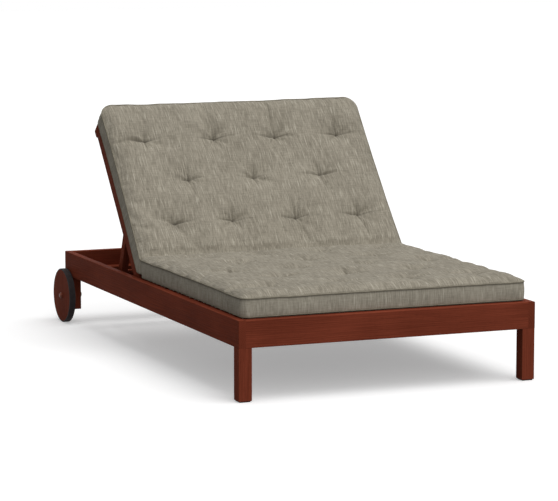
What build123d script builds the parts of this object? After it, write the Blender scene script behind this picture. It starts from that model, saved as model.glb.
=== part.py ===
"""Double chaise lounger: hardwood frame, reclining back on a prop, two wheels and a tufted cushion.

Millimetres, +Z up, +X to the right, +Y from the foot end to the head end.
The origin is at the middle of the footprint, on the ground.
The back is modelled raised on its prop, at its steepest rack position.
"""
from build123d import *
import math
import os

os.makedirs("parts", exist_ok=True)

# Frame
frame_width = 1220.0
frame_top = 306.0
rail_height = 104.0
rail_thickness = 28.0
rail_edge = 3.0
board_edge = 1.5

# Legs
leg_width = 52.0
front_leg_depth = 52.0
rear_leg_depth = 60.0
rear_leg_bottom = 55.0
leg_edge = 3.0
low_bolt_rise = 22.0
high_bolt_rise = 50.0
glide_thickness = 4.0
glide_margin = 5.0

# Wheels
wheel_radius = 117.0
wheel_width = 27.0
wheel_gap = 4.0
tyre_thickness = 6.0
tyre_edge = 2.5
axle_inset = 40.0
axle_radius = 6.0
running_clearance = 0.06
side_clearance = 0.3
hub_cap_radius = 13.0
hub_cap_height = 9.0
hub_cap_wall = 3.0
cap_rim_share = 0.4
cap_flat_share = 0.6

# Slats and what carries them
slat_thickness = 18.0
slat_width = 66.0
slat_end_gap = 0.5
seat_slat_count = 12
back_slat_count = 8
cleat_width = 20.0
cleat_height = 25.0
beam_width = 28.0
beam_height = 68.0
cross_rail_width = 28.0
deck_start_gap = 8.0
ledge_depth = 55.0
ledge_height = 25.0
ledge_gap = 0.5

# Back
hinge_reach = 1203.0
hinge_drop = 38.0
back_rest_angle = 49.5
stile_thickness = 28.0
stile_gap = 4.0
stile_foot = 26.0
stile_foot_radius = 24.0
stile_depth = 52.5
back_length = 800.0
back_to_head_end = 65.0
top_rail_width = 40.0
top_rail_proud = 15.0
top_rail_edge = 9.0
bottom_rail_start = 30.0
bottom_rail_width = 40.0
first_back_slat = 12.0
last_back_slat_margin = 5.0
seat_slat_to_hinge = 78.0

# Prop
prop_reach_share = 0.41875
prop_rest_angle = 68.0
prop_arm_width = 36.0
prop_arm_thickness = 28.0
foot_bar_radius = 12.0
foot_bar_end_gap = 3.0
rack_thickness = 24.0
rack_arm_gap = 4.0
rack_overrun = 20.0
rack_clearance = 1.0
notch_depth = 5.0
notch_angle_shares = (1.0, 0.8, 0.58, 0.34)
rack_level_share = 0.56
rack_rail_height = 38.0

# Cushion
cushion_side_inset = 22.0
cushion_front_inset = 22.0
boxing_height = 74.0
crown_height = 16.0
crown_run = 62.0
underside_tuck = 9.0
cushion_corner = 20.0
cushion_draw_in = 5.0
seat_cushion_to_hinge = 65.0
cushion_overhang = 33.0
fold_height_share = 0.59
tuft_slope_shares = ((0.02, 1.0), (0.45, 0.55), (1.0, 0.0))
boxing_profile_shares = ((0.0, 1.0), (0.12, 0.16), (fold_height_share, 0.0), (1.0, 0.28))
crown_profile_shares = ((0.6, 0.26), (1.0, 1.0))
seat_tuft_shares = (
    (0.163, (-0.340, -0.102, 0.136, 0.374)),
    (0.345, (-0.238, 0.009, 0.255)),
    (0.527, (-0.340, -0.102, 0.136, 0.374)),
    (0.708, (-0.238, 0.009, 0.255)),
    (0.890, (-0.340, -0.102, 0.136, 0.374)),
)
back_tuft_shares = (
    (0.262, (-0.337, -0.120, 0.122, 0.364)),
    (0.516, (-0.242, 0.008, 0.264)),
    (0.760, (-0.366, -0.103, 0.135, 0.378)),
)
cushion_gap = 0.5
tuft_radius = 100.0
tuft_depth = 20.0

# Fasteners
bolt_radius = 4.0
bolt_head_radius = 8.0
bolt_head_height = 5.0
bolt_bite = 18.0
fit_clearance = 0.05
pivot_radius = 6.0
pivot_head_radius = 11.0
pivot_head_height = 6.0
pivot_bite = 20.0
washer_rim = 5.0
head_sides = 6
corner_bolt_sides = 8
washer_sides = 12

# Places that follow from the sizes above
cut_overrun = 2 * rail_thickness
full_turn = 360
prop_reach = back_length * prop_reach_share
frame_length = hinge_reach + back_length + back_to_head_end
foot_y = -(frame_length + wheel_radius - axle_inset) / 2
hinge_y = foot_y + hinge_reach
hinge_z = frame_top - hinge_drop
rail_bottom = frame_top - rail_height
rail_inner = frame_width / 2 - rail_thickness
slat_bottom = frame_top - slat_thickness
stile_outer = rail_inner - stile_gap
stile_inner = stile_outer - stile_thickness
back_front = hinge_drop
back_rear = hinge_drop - stile_depth
back_slat_bottom = hinge_drop - slat_thickness
bar_end = stile_inner - foot_bar_end_gap
arm_inner = bar_end - prop_arm_thickness
rack_outer = arm_inner - rack_arm_gap
rack_inner = rack_outer - rack_thickness
rest_angle = math.radians(back_rest_angle)
prop_angle = math.radians(prop_rest_angle)
prop_length = prop_reach * math.sin(rest_angle) / math.sin(prop_angle)
cushion_half_width = frame_width / 2 - cushion_side_inset
back_cushion_top = back_length + cushion_overhang

floor_plane = Plane(origin=(0, foot_y, 0))
hinge_side_plane = Plane(origin=(0, hinge_y, hinge_z), x_dir=(0, 1, 0), z_dir=(1, 0, 0))
back_plane = Plane(
    origin=(0, hinge_y, hinge_z),
    x_dir=(1, 0, 0),
    z_dir=(0, -math.sin(rest_angle), math.cos(rest_angle)),
)
back_side_plane = Plane(
    origin=(0, hinge_y, hinge_z),
    x_dir=(0, math.cos(rest_angle), math.sin(rest_angle)),
    z_dir=(1, 0, 0),
)
prop_pivot_y = hinge_y + prop_reach * math.cos(rest_angle)
prop_pivot_z = hinge_z + prop_reach * math.sin(rest_angle)
prop_side_plane = Plane(
    origin=(0, prop_pivot_y, prop_pivot_z),
    x_dir=(0, math.cos(prop_angle), -math.sin(prop_angle)),
    z_dir=(1, 0, 0),
)


def save(piece, name):
    """Label a finished piece and write it under its own name."""
    piece.label = name
    export_step(piece, "parts/" + name + ".step")


def span(low, high):
    """Centre and size of the stretch between two places."""
    return (low + high) / 2, high - low


def board(plane, across, along, height, edge):
    """A straight board on a plane, from place to place each way, with all its edges eased."""
    across_mid, across_size = span(*across)
    along_mid, along_size = span(*along)
    with BuildPart() as piece:
        with BuildSketch(plane.offset(height[0])):
            with Locations((across_mid, along_mid)):
                Rectangle(across_size, along_size)
        extrude(amount=height[1] - height[0])
        chamfer(piece.edges(), edge)
    return piece.part


def soft_board(plane, across, along, height, edge):
    """A straight board whose top long edges are rounded and whose lower long edges are eased."""
    across_mid, across_size = span(*across)
    along_mid, along_size = span(*along)
    long_axis = Axis.X if across_size > along_size else Axis.Y
    with BuildPart() as piece:
        with BuildSketch(plane.offset(height[0])):
            with Locations((across_mid, along_mid)):
                Rectangle(across_size, along_size)
        extrude(amount=height[1] - height[0])
        long_edges = piece.edges().filter_by(long_axis).group_by(Axis.Z)
        fillet(long_edges[-1], edge)
        chamfer(long_edges[0], edge / 2)
    return piece.part


def round_or_flats(radius, flats):
    """A circle, or a polygon in it where a number of flats is given."""
    return RegularPolygon(radius, flats) if flats else Circle(radius)


def peg(plane, radius, low, high, flats=0):
    """A round peg or drill along a plane's normal, from place to place, or one drawn with flats."""
    with BuildPart() as piece:
        with BuildSketch(plane.offset(low)):
            round_or_flats(radius, flats)
        extrude(amount=high - low)
    return piece.part


def ring(plane, outer, inner, low, high):
    """A tyre or disc along a plane's normal."""
    with BuildPart() as piece:
        with BuildSketch(plane.offset(low)):
            Circle(outer)
            Circle(inner, mode=Mode.SUBTRACT)
        extrude(amount=high - low)
    return piece.part


def washer(plane, outer, inner, low, high):
    """A small washer or spacer along a plane's normal, drawn with flats."""
    with BuildPart() as piece:
        with BuildSketch(plane.offset(low)):
            RegularPolygon(outer, washer_sides)
            RegularPolygon(inner, washer_sides, major_radius=False, mode=Mode.SUBTRACT)
        extrude(amount=high - low)
    return piece.part


def headed_bolt(plane, shank, head, head_height, length, flats=0):
    """A bolt whose hexagon head stands behind the plane and whose shank runs along its normal."""
    with BuildPart() as piece:
        with BuildSketch(plane):
            RegularPolygon(head, head_sides)
        extrude(amount=-head_height)
        with BuildSketch(plane):
            round_or_flats(shank, flats)
        extrude(amount=length)
    return piece.part


def cap(plane, bore, rim, height, wall):
    """A domed push-on cap behind the plane, with a blind bore for its shaft."""
    with BuildPart() as piece:
        with BuildSketch(Plane(origin=plane.origin, x_dir=plane.x_dir, z_dir=plane.y_dir)):
            with BuildLine():
                Polyline(
                    (bore, height - wall),
                    (bore, 0),
                    (rim, 0),
                    (rim, height * cap_rim_share),
                    (rim * cap_flat_share, height),
                    (0, height),
                    (0, height - wall),
                    (bore, height - wall),
                )
            make_face()
        revolve(axis=Axis(plane.origin, plane.z_dir))
    return piece.part


def side_plane(side, place_x, place_y, place_z):
    """A plane facing outwards on the left (-1) or right (1) of the frame."""
    return Plane(
        origin=(side * place_x, place_y, place_z),
        x_dir=(0, 1, 0),
        z_dir=(side, 0, 0),
    )


def mirrored_span(side, inner, outer):
    """The same stretch on the left (-1) or right (1), in rising order."""
    return (inner, outer) if side > 0 else (-outer, -inner)


sides = {"left": -1, "right": 1}


# Legs, each rebated over the corner of the frame, with a post inside it
bolt_low = rail_bottom + low_bolt_rise
bolt_high = rail_bottom + high_bolt_rise
post_width = leg_width - rail_thickness
post_inner = frame_width / 2 - leg_width
axle_y = foot_y + frame_length - axle_inset

leg_ends = {
    "front": {
        "along": (0, front_leg_depth),
        "post": (rail_thickness, front_leg_depth),
        "bottom": glide_thickness,
        "bolt_face": front_leg_depth,
        "way": -1,
    },
    "rear": {
        "along": (frame_length - rear_leg_depth, frame_length),
        "post": (frame_length - rear_leg_depth, frame_length - rail_thickness),
        "bottom": rear_leg_bottom,
        "bolt_face": frame_length - rear_leg_depth,
        "way": 1,
    },
}


def corner_bolt_places(side, end):
    """Planes and lengths of a corner's two bolts: one into the side rail, one into the end rail."""
    corner = leg_ends[end]
    post_mid, post_depth = span(*corner["post"])
    into_side = side_plane(side, post_inner, foot_y + post_mid, bolt_high)
    into_end = Plane(
        origin=(side * (post_inner + post_width / 2), foot_y + corner["bolt_face"], bolt_low),
        x_dir=(1, 0, 0),
        z_dir=(0, corner["way"], 0),
    )
    return (into_side, post_width + bolt_bite), (into_end, post_depth + bolt_bite)


def corner_drills(side, end):
    """The two bolt holes of a corner, as solids to take away."""
    places = corner_bolt_places(side, end)
    hole_radius = bolt_radius + fit_clearance
    return [peg(plane, hole_radius, 0, length, corner_bolt_sides) for plane, length in places]


axle_plane = Plane(origin=(0, axle_y, wheel_radius), x_dir=(0, 1, 0), z_dir=(1, 0, 0))
axle_hole = peg(axle_plane, axle_radius + fit_clearance, -frame_width, frame_width)

for end, corner in leg_ends.items():
    for side_name, side in sides.items():
        across_mid, across_size = span(*mirrored_span(side, post_inner, frame_width / 2))
        along_mid, along_size = span(*corner["along"])
        post_across_mid, post_across = span(*mirrored_span(side, post_inner, rail_inner))
        post_mid, post_depth = span(*corner["post"])
        drills = corner_drills(side, end)
        with BuildPart() as leg:
            with BuildSketch(floor_plane.offset(corner["bottom"])):
                with Locations((across_mid, along_mid)):
                    Rectangle(across_size, along_size)
            extrude(amount=rail_bottom - corner["bottom"])
            chamfer(leg.edges().filter_by(Axis.Z), leg_edge / 2)
            chamfer(leg.edges().group_by(Axis.Z)[0], leg_edge / 2)
            with BuildSketch(floor_plane.offset(rail_bottom)):
                with Locations((post_across_mid, post_mid)):
                    Rectangle(post_across, post_depth)
            extrude(amount=slat_bottom - rail_bottom)
            add(drills, mode=Mode.SUBTRACT)
            if end == "rear":
                add(axle_hole, mode=Mode.SUBTRACT)
        save(leg.part, end + "_" + side_name + "_leg")

with BuildPart() as foot_glides:
    with BuildSketch(floor_plane):
        glide_mid = frame_width / 2 - leg_width / 2
        with Locations((-glide_mid, front_leg_depth / 2), (glide_mid, front_leg_depth / 2)):
            Rectangle(leg_width - 2 * glide_margin, front_leg_depth - 2 * glide_margin)
    extrude(amount=glide_thickness)
    chamfer(foot_glides.edges().group_by(Axis.Z)[0], glide_thickness / 4)
save(foot_glides.part, "foot_glides")

corner_bolts = []
for end in leg_ends:
    for side in sides.values():
        for plane, length in corner_bolt_places(side, end):
            corner_bolts.append(headed_bolt(
                plane, bolt_radius, bolt_head_radius, bolt_head_height, length, corner_bolt_sides
            ))
with BuildPart() as corner_bolt_set:
    add(corner_bolts)
save(corner_bolt_set.part, "corner_bolts")

# Rails round the frame: the side rails run through and the end rails butt between them
hinge_drill_reach = stile_gap + pivot_bite
for side_name, side in sides.items():
    hinge_drill = peg(
        side_plane(side, stile_outer, hinge_y, hinge_z), pivot_radius + fit_clearance, 0, hinge_drill_reach
    )
    with BuildPart() as side_rail:
        add(soft_board(
            floor_plane,
            mirrored_span(side, rail_inner, frame_width / 2),
            (0, frame_length),
            (rail_bottom, frame_top),
            rail_edge,
        ))
        add(corner_drills(side, "front"), mode=Mode.SUBTRACT)
        add(corner_drills(side, "rear"), mode=Mode.SUBTRACT)
        add(hinge_drill, mode=Mode.SUBTRACT)
    save(side_rail.part, side_name + "_side_rail")

end_rail_spans = {
    "foot_rail": ("front", (0, rail_thickness)),
    "head_rail": ("rear", (frame_length - rail_thickness, frame_length)),
}
for rail_name, (end, along) in end_rail_spans.items():
    with BuildPart() as end_rail:
        add(soft_board(
            floor_plane,
            (-rail_inner, rail_inner),
            along,
            (rail_bottom, frame_top),
            rail_edge,
        ))
        for side in sides.values():
            add(corner_drills(side, end), mode=Mode.SUBTRACT)
    save(end_rail.part, rail_name)

# Seat deck: cleats, centre beam and cross rail under the seat slats
deck_end = hinge_reach - seat_slat_to_hinge
cross_rail_start = deck_end - cross_rail_width
for side_name, side in sides.items():
    cleat = board(
        floor_plane,
        mirrored_span(side, rail_inner - cleat_width, rail_inner),
        (front_leg_depth, cross_rail_start),
        (slat_bottom - cleat_height, slat_bottom),
        board_edge,
    )
    save(cleat, side_name + "_slat_cleat")

centre_beam = board(
    floor_plane,
    (-beam_width / 2, beam_width / 2),
    (rail_thickness, cross_rail_start),
    (slat_bottom - beam_height, slat_bottom),
    board_edge,
)
save(centre_beam, "centre_beam")

hinge_cross_rail = board(
    floor_plane,
    (-rail_inner, rail_inner),
    (cross_rail_start, deck_end),
    (rail_bottom, slat_bottom),
    board_edge,
)
save(hinge_cross_rail, "hinge_cross_rail")

seat_slat_start = rail_thickness + deck_start_gap
seat_slat_pitch = (deck_end - slat_width - seat_slat_start) / (seat_slat_count - 1)
for number in range(seat_slat_count):
    start = seat_slat_start + number * seat_slat_pitch
    slat = board(
        floor_plane,
        (slat_end_gap - rail_inner, rail_inner - slat_end_gap),
        (start, start + slat_width),
        (slat_bottom, frame_top),
        board_edge,
    )
    save(slat, f"seat_slat_{number + 1:02d}")

# Racks that the foot bar of the prop rests on, between two cross rails
def bar_place(angle_share):
    """Where the foot bar's axis is behind and above the hinge, at a share of the back's rise."""
    back_angle = rest_angle * angle_share
    arm_angle = prop_angle * angle_share
    behind = prop_reach * math.cos(back_angle) + prop_length * math.cos(arm_angle)
    above = prop_reach * math.sin(back_angle) - prop_length * math.sin(arm_angle)
    return behind, above


def rack_top(angle_share):
    """The point of the rack's top edge under the foot bar, level from where the bar runs lowest."""
    behind = bar_place(angle_share)[0]
    above = bar_place(max(angle_share, rack_level_share))[1]
    return behind, above - foot_bar_radius - rack_clearance


rack_start = rack_top(1)[0] - rack_overrun
rack_end = rack_top(0)[0] + rack_overrun
rack_foot = rail_bottom - hinge_z
notch_radius = foot_bar_radius + rack_clearance
for side_name, side in sides.items():
    rack_low = mirrored_span(side, rack_inner, rack_outer)[0]
    with BuildPart() as rack:
        with BuildSketch(hinge_side_plane.offset(rack_low)):
            with BuildLine():
                Polyline(
                    rack_top(1),
                    (rack_start, rack_top(1)[1]),
                    (rack_start, rack_foot),
                    (rack_end, rack_foot),
                    (rack_end, rack_top(0)[1]),
                    rack_top(rack_level_share),
                )
                ThreePointArc(
                    rack_top(rack_level_share), rack_top((1 + rack_level_share) / 2), rack_top(1)
                )
            make_face()
            for share in notch_angle_shares:
                behind, above = rack_top(share)
                with Locations((behind, above + notch_radius - notch_depth)):
                    Circle(notch_radius, mode=Mode.SUBTRACT)
        extrude(amount=rack_thickness)
    save(rack.part, side_name + "_rack")

rack_rail_spans = {
    "front_rack_rail": (hinge_reach + rack_start - cross_rail_width, hinge_reach + rack_start),
    "rear_rack_rail": (hinge_reach + rack_end, hinge_reach + rack_end + cross_rail_width),
}
for rail_name, along in rack_rail_spans.items():
    rack_rail = board(
        floor_plane,
        (-rail_inner, rail_inner),
        along,
        (rail_bottom, rail_bottom + rack_rail_height),
        board_edge,
    )
    save(rack_rail, rail_name)

# Ledge inside the head rail that carries the back when it lies flat
ledge_top = hinge_z + back_rear - top_rail_proud - ledge_gap
head_ledge = board(
    floor_plane,
    (-post_inner, post_inner),
    (frame_length - rail_thickness - ledge_depth, frame_length - rail_thickness),
    (ledge_top - ledge_height, ledge_top),
    board_edge,
)
save(head_ledge, "head_ledge")

# Wheels, each on a bolt that goes out through its rear leg
wheel_face = frame_width / 2 + wheel_gap
cap_seat = wheel_face + wheel_width + side_clearance
axle_bolt_end = cap_seat + hub_cap_height - hub_cap_wall
with BuildPart() as axle_bolts:
    for side in sides.values():
        add(headed_bolt(
            side_plane(side, post_inner, axle_y, wheel_radius),
            axle_radius,
            pivot_head_radius,
            pivot_head_height,
            axle_bolt_end - post_inner,
        ))
save(axle_bolts.part, "axle_bolts")

for side_name, side in sides.items():
    wheel_plane = side_plane(side, wheel_face, axle_y, wheel_radius)
    wheel_disc = ring(
        wheel_plane, wheel_radius - tyre_thickness, axle_radius + running_clearance, 0, wheel_width
    )
    save(wheel_disc, side_name + "_wheel_disc")
    with BuildPart() as tyre:
        add(ring(wheel_plane, wheel_radius, wheel_radius - tyre_thickness, 0, wheel_width))
        tread_rims = tyre.edges().filter_by(GeomType.CIRCLE).sort_by(SortBy.RADIUS)[-2:]
        chamfer(tread_rims, tyre_edge)
    save(tyre.part, side_name + "_tyre")
    cap_plane = side_plane(-side, -cap_seat, axle_y, wheel_radius)
    hub_cap = cap(
        cap_plane, axle_radius + fit_clearance, hub_cap_radius, hub_cap_height, hub_cap_wall
    )
    save(hub_cap, side_name + "_hub_cap")

with BuildPart() as axle_washers:
    for side in sides.values():
        washer_plane = side_plane(side, frame_width / 2, axle_y, wheel_radius)
        add(washer(
            washer_plane,
            axle_radius + washer_rim,
            axle_radius + fit_clearance,
            0,
            wheel_gap - side_clearance,
        ))
save(axle_washers.part, "axle_washers")

# Hinge bolts, from inside the stiles into the side rails, with a washer in each gap
hinge_head_seat = stile_inner - side_clearance
hinge_bolt_length = side_clearance + stile_thickness + stile_gap + pivot_bite
with BuildPart() as hinge_bolts:
    for side in sides.values():
        add(headed_bolt(
            side_plane(side, hinge_head_seat, hinge_y, hinge_z),
            pivot_radius,
            pivot_head_radius,
            pivot_head_height,
            hinge_bolt_length,
        ))
        add(washer(
            side_plane(side, stile_outer, hinge_y, hinge_z),
            pivot_radius + washer_rim,
            pivot_radius + fit_clearance,
            side_clearance,
            stile_gap - side_clearance,
        ))
save(hinge_bolts.part, "hinge_bolts")

# Back frame
back_axis = Axis((0, hinge_y, hinge_z), back_side_plane.x_dir)
stile_top = back_length - top_rail_width
for side_name, side in sides.items():
    stile_low = mirrored_span(side, stile_inner, stile_outer)[0]
    stud_drill = peg(
        side_plane(side, stile_inner, prop_pivot_y, prop_pivot_z),
        pivot_radius + fit_clearance,
        0,
        pivot_bite,
    )
    along_mid, along_size = span(-stile_foot, stile_top)
    depth_mid, depth_size = span(back_rear, back_front)
    with BuildPart() as stile:
        with BuildSketch(back_side_plane.offset(stile_low)) as stile_outline:
            with Locations((along_mid, depth_mid)):
                Rectangle(along_size, depth_size)
            fillet(stile_outline.vertices().group_by(Axis.X)[0], stile_foot_radius)
            Circle(pivot_radius + running_clearance, mode=Mode.SUBTRACT)
        extrude(amount=stile_thickness)
        chamfer(stile.edges().filter_by(back_axis), board_edge)
        add(stud_drill, mode=Mode.SUBTRACT)
    save(stile.part, side_name + "_stile")

top_rail_rear = back_rear - top_rail_proud
with BuildPart() as top_rail:
    with BuildSketch(back_side_plane.offset(-stile_outer)) as top_rail_outline:
        along_mid, along_size = span(stile_top, back_length)
        depth_mid, depth_size = span(top_rail_rear, back_front)
        with Locations((along_mid, depth_mid)):
            Rectangle(along_size, depth_size)
        fillet(top_rail_outline.vertices().group_by(Axis.Y)[0], top_rail_edge)
        fillet(top_rail_outline.vertices().group_by(Axis.Y)[-1], rail_edge)
    extrude(amount=2 * stile_outer)
    chamfer(top_rail.faces().filter_by(Axis.X).edges(), rail_edge)
save(top_rail.part, "top_rail")

bottom_rail_end = bottom_rail_start + bottom_rail_width
bottom_rail = board(
    back_plane,
    (-stile_inner, stile_inner),
    (bottom_rail_start, bottom_rail_end),
    (back_rear, back_slat_bottom),
    board_edge,
)
save(bottom_rail, "bottom_rail")

bar_notch_radius = foot_bar_radius + foot_bar_end_gap
folded_bar = prop_reach + prop_length
with BuildPart() as centre_stile:
    with BuildSketch(back_side_plane.offset(-beam_width / 2)):
        along_mid, along_size = span(bottom_rail_end, stile_top)
        depth_mid, depth_size = span(back_rear, back_slat_bottom)
        with Locations((along_mid, depth_mid)):
            Rectangle(along_size, depth_size)
        with Locations((folded_bar, 0)):
            Circle(bar_notch_radius, mode=Mode.SUBTRACT)
        with Locations((folded_bar, back_rear)):
            Rectangle(2 * bar_notch_radius, -2 * back_rear, mode=Mode.SUBTRACT)
    extrude(amount=beam_width)
save(centre_stile.part, "centre_stile")

last_back_slat = stile_top - last_back_slat_margin - slat_width
back_slat_pitch = (last_back_slat - first_back_slat) / (back_slat_count - 1)
for number in range(back_slat_count):
    start = first_back_slat + number * back_slat_pitch
    slat = board(
        back_plane,
        (-stile_inner, stile_inner),
        (start, start + slat_width),
        (back_slat_bottom, back_front),
        board_edge,
    )
    save(slat, f"back_slat_{number + 1:02d}")

# Prop: two arms and a foot bar, on studs in the stiles
for side_name, side in sides.items():
    arm_low = mirrored_span(side, arm_inner, bar_end)[0]
    with BuildPart() as prop_arm:
        with BuildSketch(prop_side_plane.offset(arm_low)):
            with Locations((prop_length / 2, 0)):
                SlotCenterToCenter(prop_length, prop_arm_width)
            Circle(pivot_radius + running_clearance, mode=Mode.SUBTRACT)
            with Locations((prop_length, 0)):
                Circle(foot_bar_radius + fit_clearance, mode=Mode.SUBTRACT)
        extrude(amount=prop_arm_thickness)
    save(prop_arm.part, side_name + "_prop_arm")

bar_behind, bar_above = bar_place(1)
bar_plane = Plane(
    origin=(0, hinge_y + bar_behind, hinge_z + bar_above),
    x_dir=(0, 1, 0),
    z_dir=(1, 0, 0),
)
with BuildPart() as foot_bar:
    add(peg(bar_plane, foot_bar_radius, -bar_end, bar_end))
    chamfer(foot_bar.edges().filter_by(GeomType.CIRCLE), board_edge)
save(foot_bar.part, "foot_bar")

stud_head_seat = arm_inner - side_clearance
stud_length = stile_inner - stud_head_seat + pivot_bite
with BuildPart() as prop_studs:
    for side in sides.values():
        add(headed_bolt(
            side_plane(side, stud_head_seat, prop_pivot_y, prop_pivot_z),
            pivot_radius,
            pivot_head_radius,
            pivot_head_height,
            stud_length,
        ))
        add(washer(
            side_plane(side, bar_end, prop_pivot_y, prop_pivot_z),
            pivot_radius + washer_rim,
            pivot_radius + fit_clearance,
            side_clearance,
            foot_bar_end_gap,
        ))
save(prop_studs.part, "prop_studs")

# Cushion: a boxed pad in two sections that meet at the fold over the hinge
fold_y = cushion_gap - seat_cushion_to_hinge


def cushion_levels():
    """Height above the deck and draw-in of each outline, from the underside to the crown."""
    boxing = [(rise * boxing_height, tuck * underside_tuck) for rise, tuck in boxing_profile_shares]
    crown = [
        (boxing_height + rise * crown_height, run * crown_run) for rise, run in crown_profile_shares
    ]
    return boxing + crown


def fold_end(height):
    """Where the back section ends along the back, so that it stands plumb against the seat section."""
    off_hinge = hinge_drop + height
    plumb = (off_hinge * math.sin(rest_angle) + fold_y) / math.cos(rest_angle)
    fold_off_hinge = hinge_drop + fold_height_share * boxing_height
    fold_along = (fold_off_hinge * math.sin(rest_angle) + fold_y) / math.cos(rest_angle)
    fold_z = fold_along * math.sin(rest_angle) + fold_off_hinge * math.cos(rest_angle)
    level = (fold_z - off_hinge * math.cos(rest_angle)) / math.sin(rest_angle)
    return max(plumb, level)


def tuft_places(row_shares, near, far):
    """Tuft centres from rows given as shares of the length, each with shares of the width."""
    places = []
    for along_share, across_shares in row_shares:
        for across_share in across_shares:
            places.append((2 * cushion_half_width * across_share, near + (far - near) * along_share))
    return places


def pleated_pit(top_radius, bottom_radius, top_depth, bottom_depth):
    """A pit of eight flat slopes between two depths below the crown, for one stage of a tuft."""
    depth = bottom_depth - top_depth
    ends = (top_radius - bottom_radius, top_radius + bottom_radius)
    with BuildPart() as pit:
        with Locations((0, 0, -(top_depth + bottom_depth) / 2)):
            for turn, mode in ((0, Mode.ADD), (full_turn / 8, Mode.INTERSECT)):
                Wedge(
                    2 * top_radius,
                    depth,
                    2 * top_radius,
                    ends[0],
                    ends[0],
                    ends[1],
                    ends[1],
                    rotation=(-full_turn / 4, 0, turn),
                    mode=mode,
                )
    return pit.part


def tuft_cutter():
    """What a tuft takes out of the crown: a steep pit inside a wide shallow one."""
    with BuildPart() as tuft:
        for (inner, deep), (outer, shallow) in zip(tuft_slope_shares, tuft_slope_shares[1:]):
            add(pleated_pit(
                tuft_radius * outer, tuft_radius * inner, tuft_depth * shallow, tuft_depth * deep
            ))
    return tuft.part


def cushion(plane, ends, draw_ins, places):
    """A crowned, tufted pad on a plane; ends and draw_ins give its two ends at each level."""
    tuft = tuft_cutter()
    top = boxing_height + crown_height
    with BuildPart() as pad:
        for (height, inset), (near, far) in zip(cushion_levels(), ends):
            half = cushion_half_width - inset
            middle = (near + far) / 2
            near_draw, far_draw = draw_ins
            with BuildSketch(plane.offset(height)) as outline:
                with BuildLine():
                    ThreePointArc((-half, near), (0, near + near_draw), (half, near))
                    ThreePointArc((half, near), (half - cushion_draw_in, middle), (half, far))
                    ThreePointArc((half, far), (0, far - far_draw), (-half, far))
                    ThreePointArc((-half, far), (cushion_draw_in - half, middle), (-half, near))
                make_face()
                fillet(outline.vertices(), cushion_corner)
        loft(ruled=True)
        tufts = [plane.location * Location((*place, top)) * tuft for place in places]
        add(tufts, mode=Mode.SUBTRACT)
    return pad.part


seat_near = cushion_front_inset
seat_far = hinge_reach - seat_cushion_to_hinge
seat_ends = [(seat_near + inset, seat_far - inset / 2) for height, inset in cushion_levels()]
fold_draw = cushion_draw_in / 10
seat_cushion = cushion(
    floor_plane.offset(frame_top),
    seat_ends,
    (cushion_draw_in, fold_draw),
    tuft_places(seat_tuft_shares, seat_near, seat_far),
)
save(seat_cushion, "seat_cushion")

back_ends = [(fold_end(height) + inset / 2, back_cushion_top - inset) for height, inset in cushion_levels()]
back_cushion = cushion(
    back_plane.offset(back_front),
    back_ends,
    (fold_draw, cushion_draw_in),
    tuft_places(back_tuft_shares, 0, back_cushion_top),
)
save(back_cushion, "back_cushion")
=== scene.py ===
"""Looks of a double chaise lounger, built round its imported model.

Metres, +Z up, +X to the right, +Y from the foot end to the head end, with the origin on the ground.
"""

import logging
import math
from dataclasses import dataclass
from enum import Enum
from typing import Any, Sequence

import bpy
import numpy as np
from bpy.types import Material, Mesh, Node, NodeSocket, Object
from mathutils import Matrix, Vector


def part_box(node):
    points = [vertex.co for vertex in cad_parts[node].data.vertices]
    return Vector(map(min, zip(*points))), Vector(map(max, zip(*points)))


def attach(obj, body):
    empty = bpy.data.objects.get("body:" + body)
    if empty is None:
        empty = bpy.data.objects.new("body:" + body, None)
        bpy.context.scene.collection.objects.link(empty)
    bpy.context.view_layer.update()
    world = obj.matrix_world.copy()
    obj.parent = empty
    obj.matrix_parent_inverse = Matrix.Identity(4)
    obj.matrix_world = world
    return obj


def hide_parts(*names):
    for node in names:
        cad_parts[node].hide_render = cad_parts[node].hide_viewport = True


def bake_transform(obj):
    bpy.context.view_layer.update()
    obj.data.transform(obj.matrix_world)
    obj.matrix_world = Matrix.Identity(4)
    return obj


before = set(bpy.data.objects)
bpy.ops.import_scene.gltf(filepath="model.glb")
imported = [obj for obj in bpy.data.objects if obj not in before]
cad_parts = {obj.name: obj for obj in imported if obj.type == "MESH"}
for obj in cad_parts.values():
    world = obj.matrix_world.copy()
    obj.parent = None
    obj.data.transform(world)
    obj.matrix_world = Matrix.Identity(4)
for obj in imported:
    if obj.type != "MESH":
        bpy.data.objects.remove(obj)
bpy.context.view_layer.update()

log = logging.getLogger("chaise")
Array = np.ndarray
Colour = tuple[float, float, float, float]
Point = tuple[float, float, float]
Pair = tuple[float, float]
TieRows = tuple[tuple[float, tuple[float, ...]], ...]
SIDES = ("left", "right")
SEAT_SLATS = [f"seat_slat_{number:02d}" for number in range(1, 13)]
BACK_SLATS = [f"back_slat_{number:02d}" for number in range(1, 9)]
FOUR_TIES = (-0.340, -0.102, 0.136, 0.374)
THREE_TIES = (-0.238, 0.009, 0.255)


def paint(red: float, green: float, blue: float) -> Colour:
    """Turn a swatch read off a display into the linear colour that the shaders use.

    Args:
        red, green, blue: display levels from 0 to 255.

    Returns:
        The linear colour, with full opacity.
    """
    levels = [level / 255 for level in (red, green, blue)]
    linear = [share / 12.92 if share <= 0.04045 else ((share + 0.055) / 1.055) ** 2.4 for share in levels]
    return (*linear, 1.0)


def fade(gap: Array, reach: float | Array, power: float = 2.0) -> Array:
    """Fade out over a distance.

    Args:
        gap: the distances.
        reach: where a little more than a third is left.
        power: 2 for round shoulders, and less for sharper ones.

    Returns:
        What is left at each distance, from 1 at none.
    """
    return np.exp(-(np.abs(gap / reach) ** power))


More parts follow.
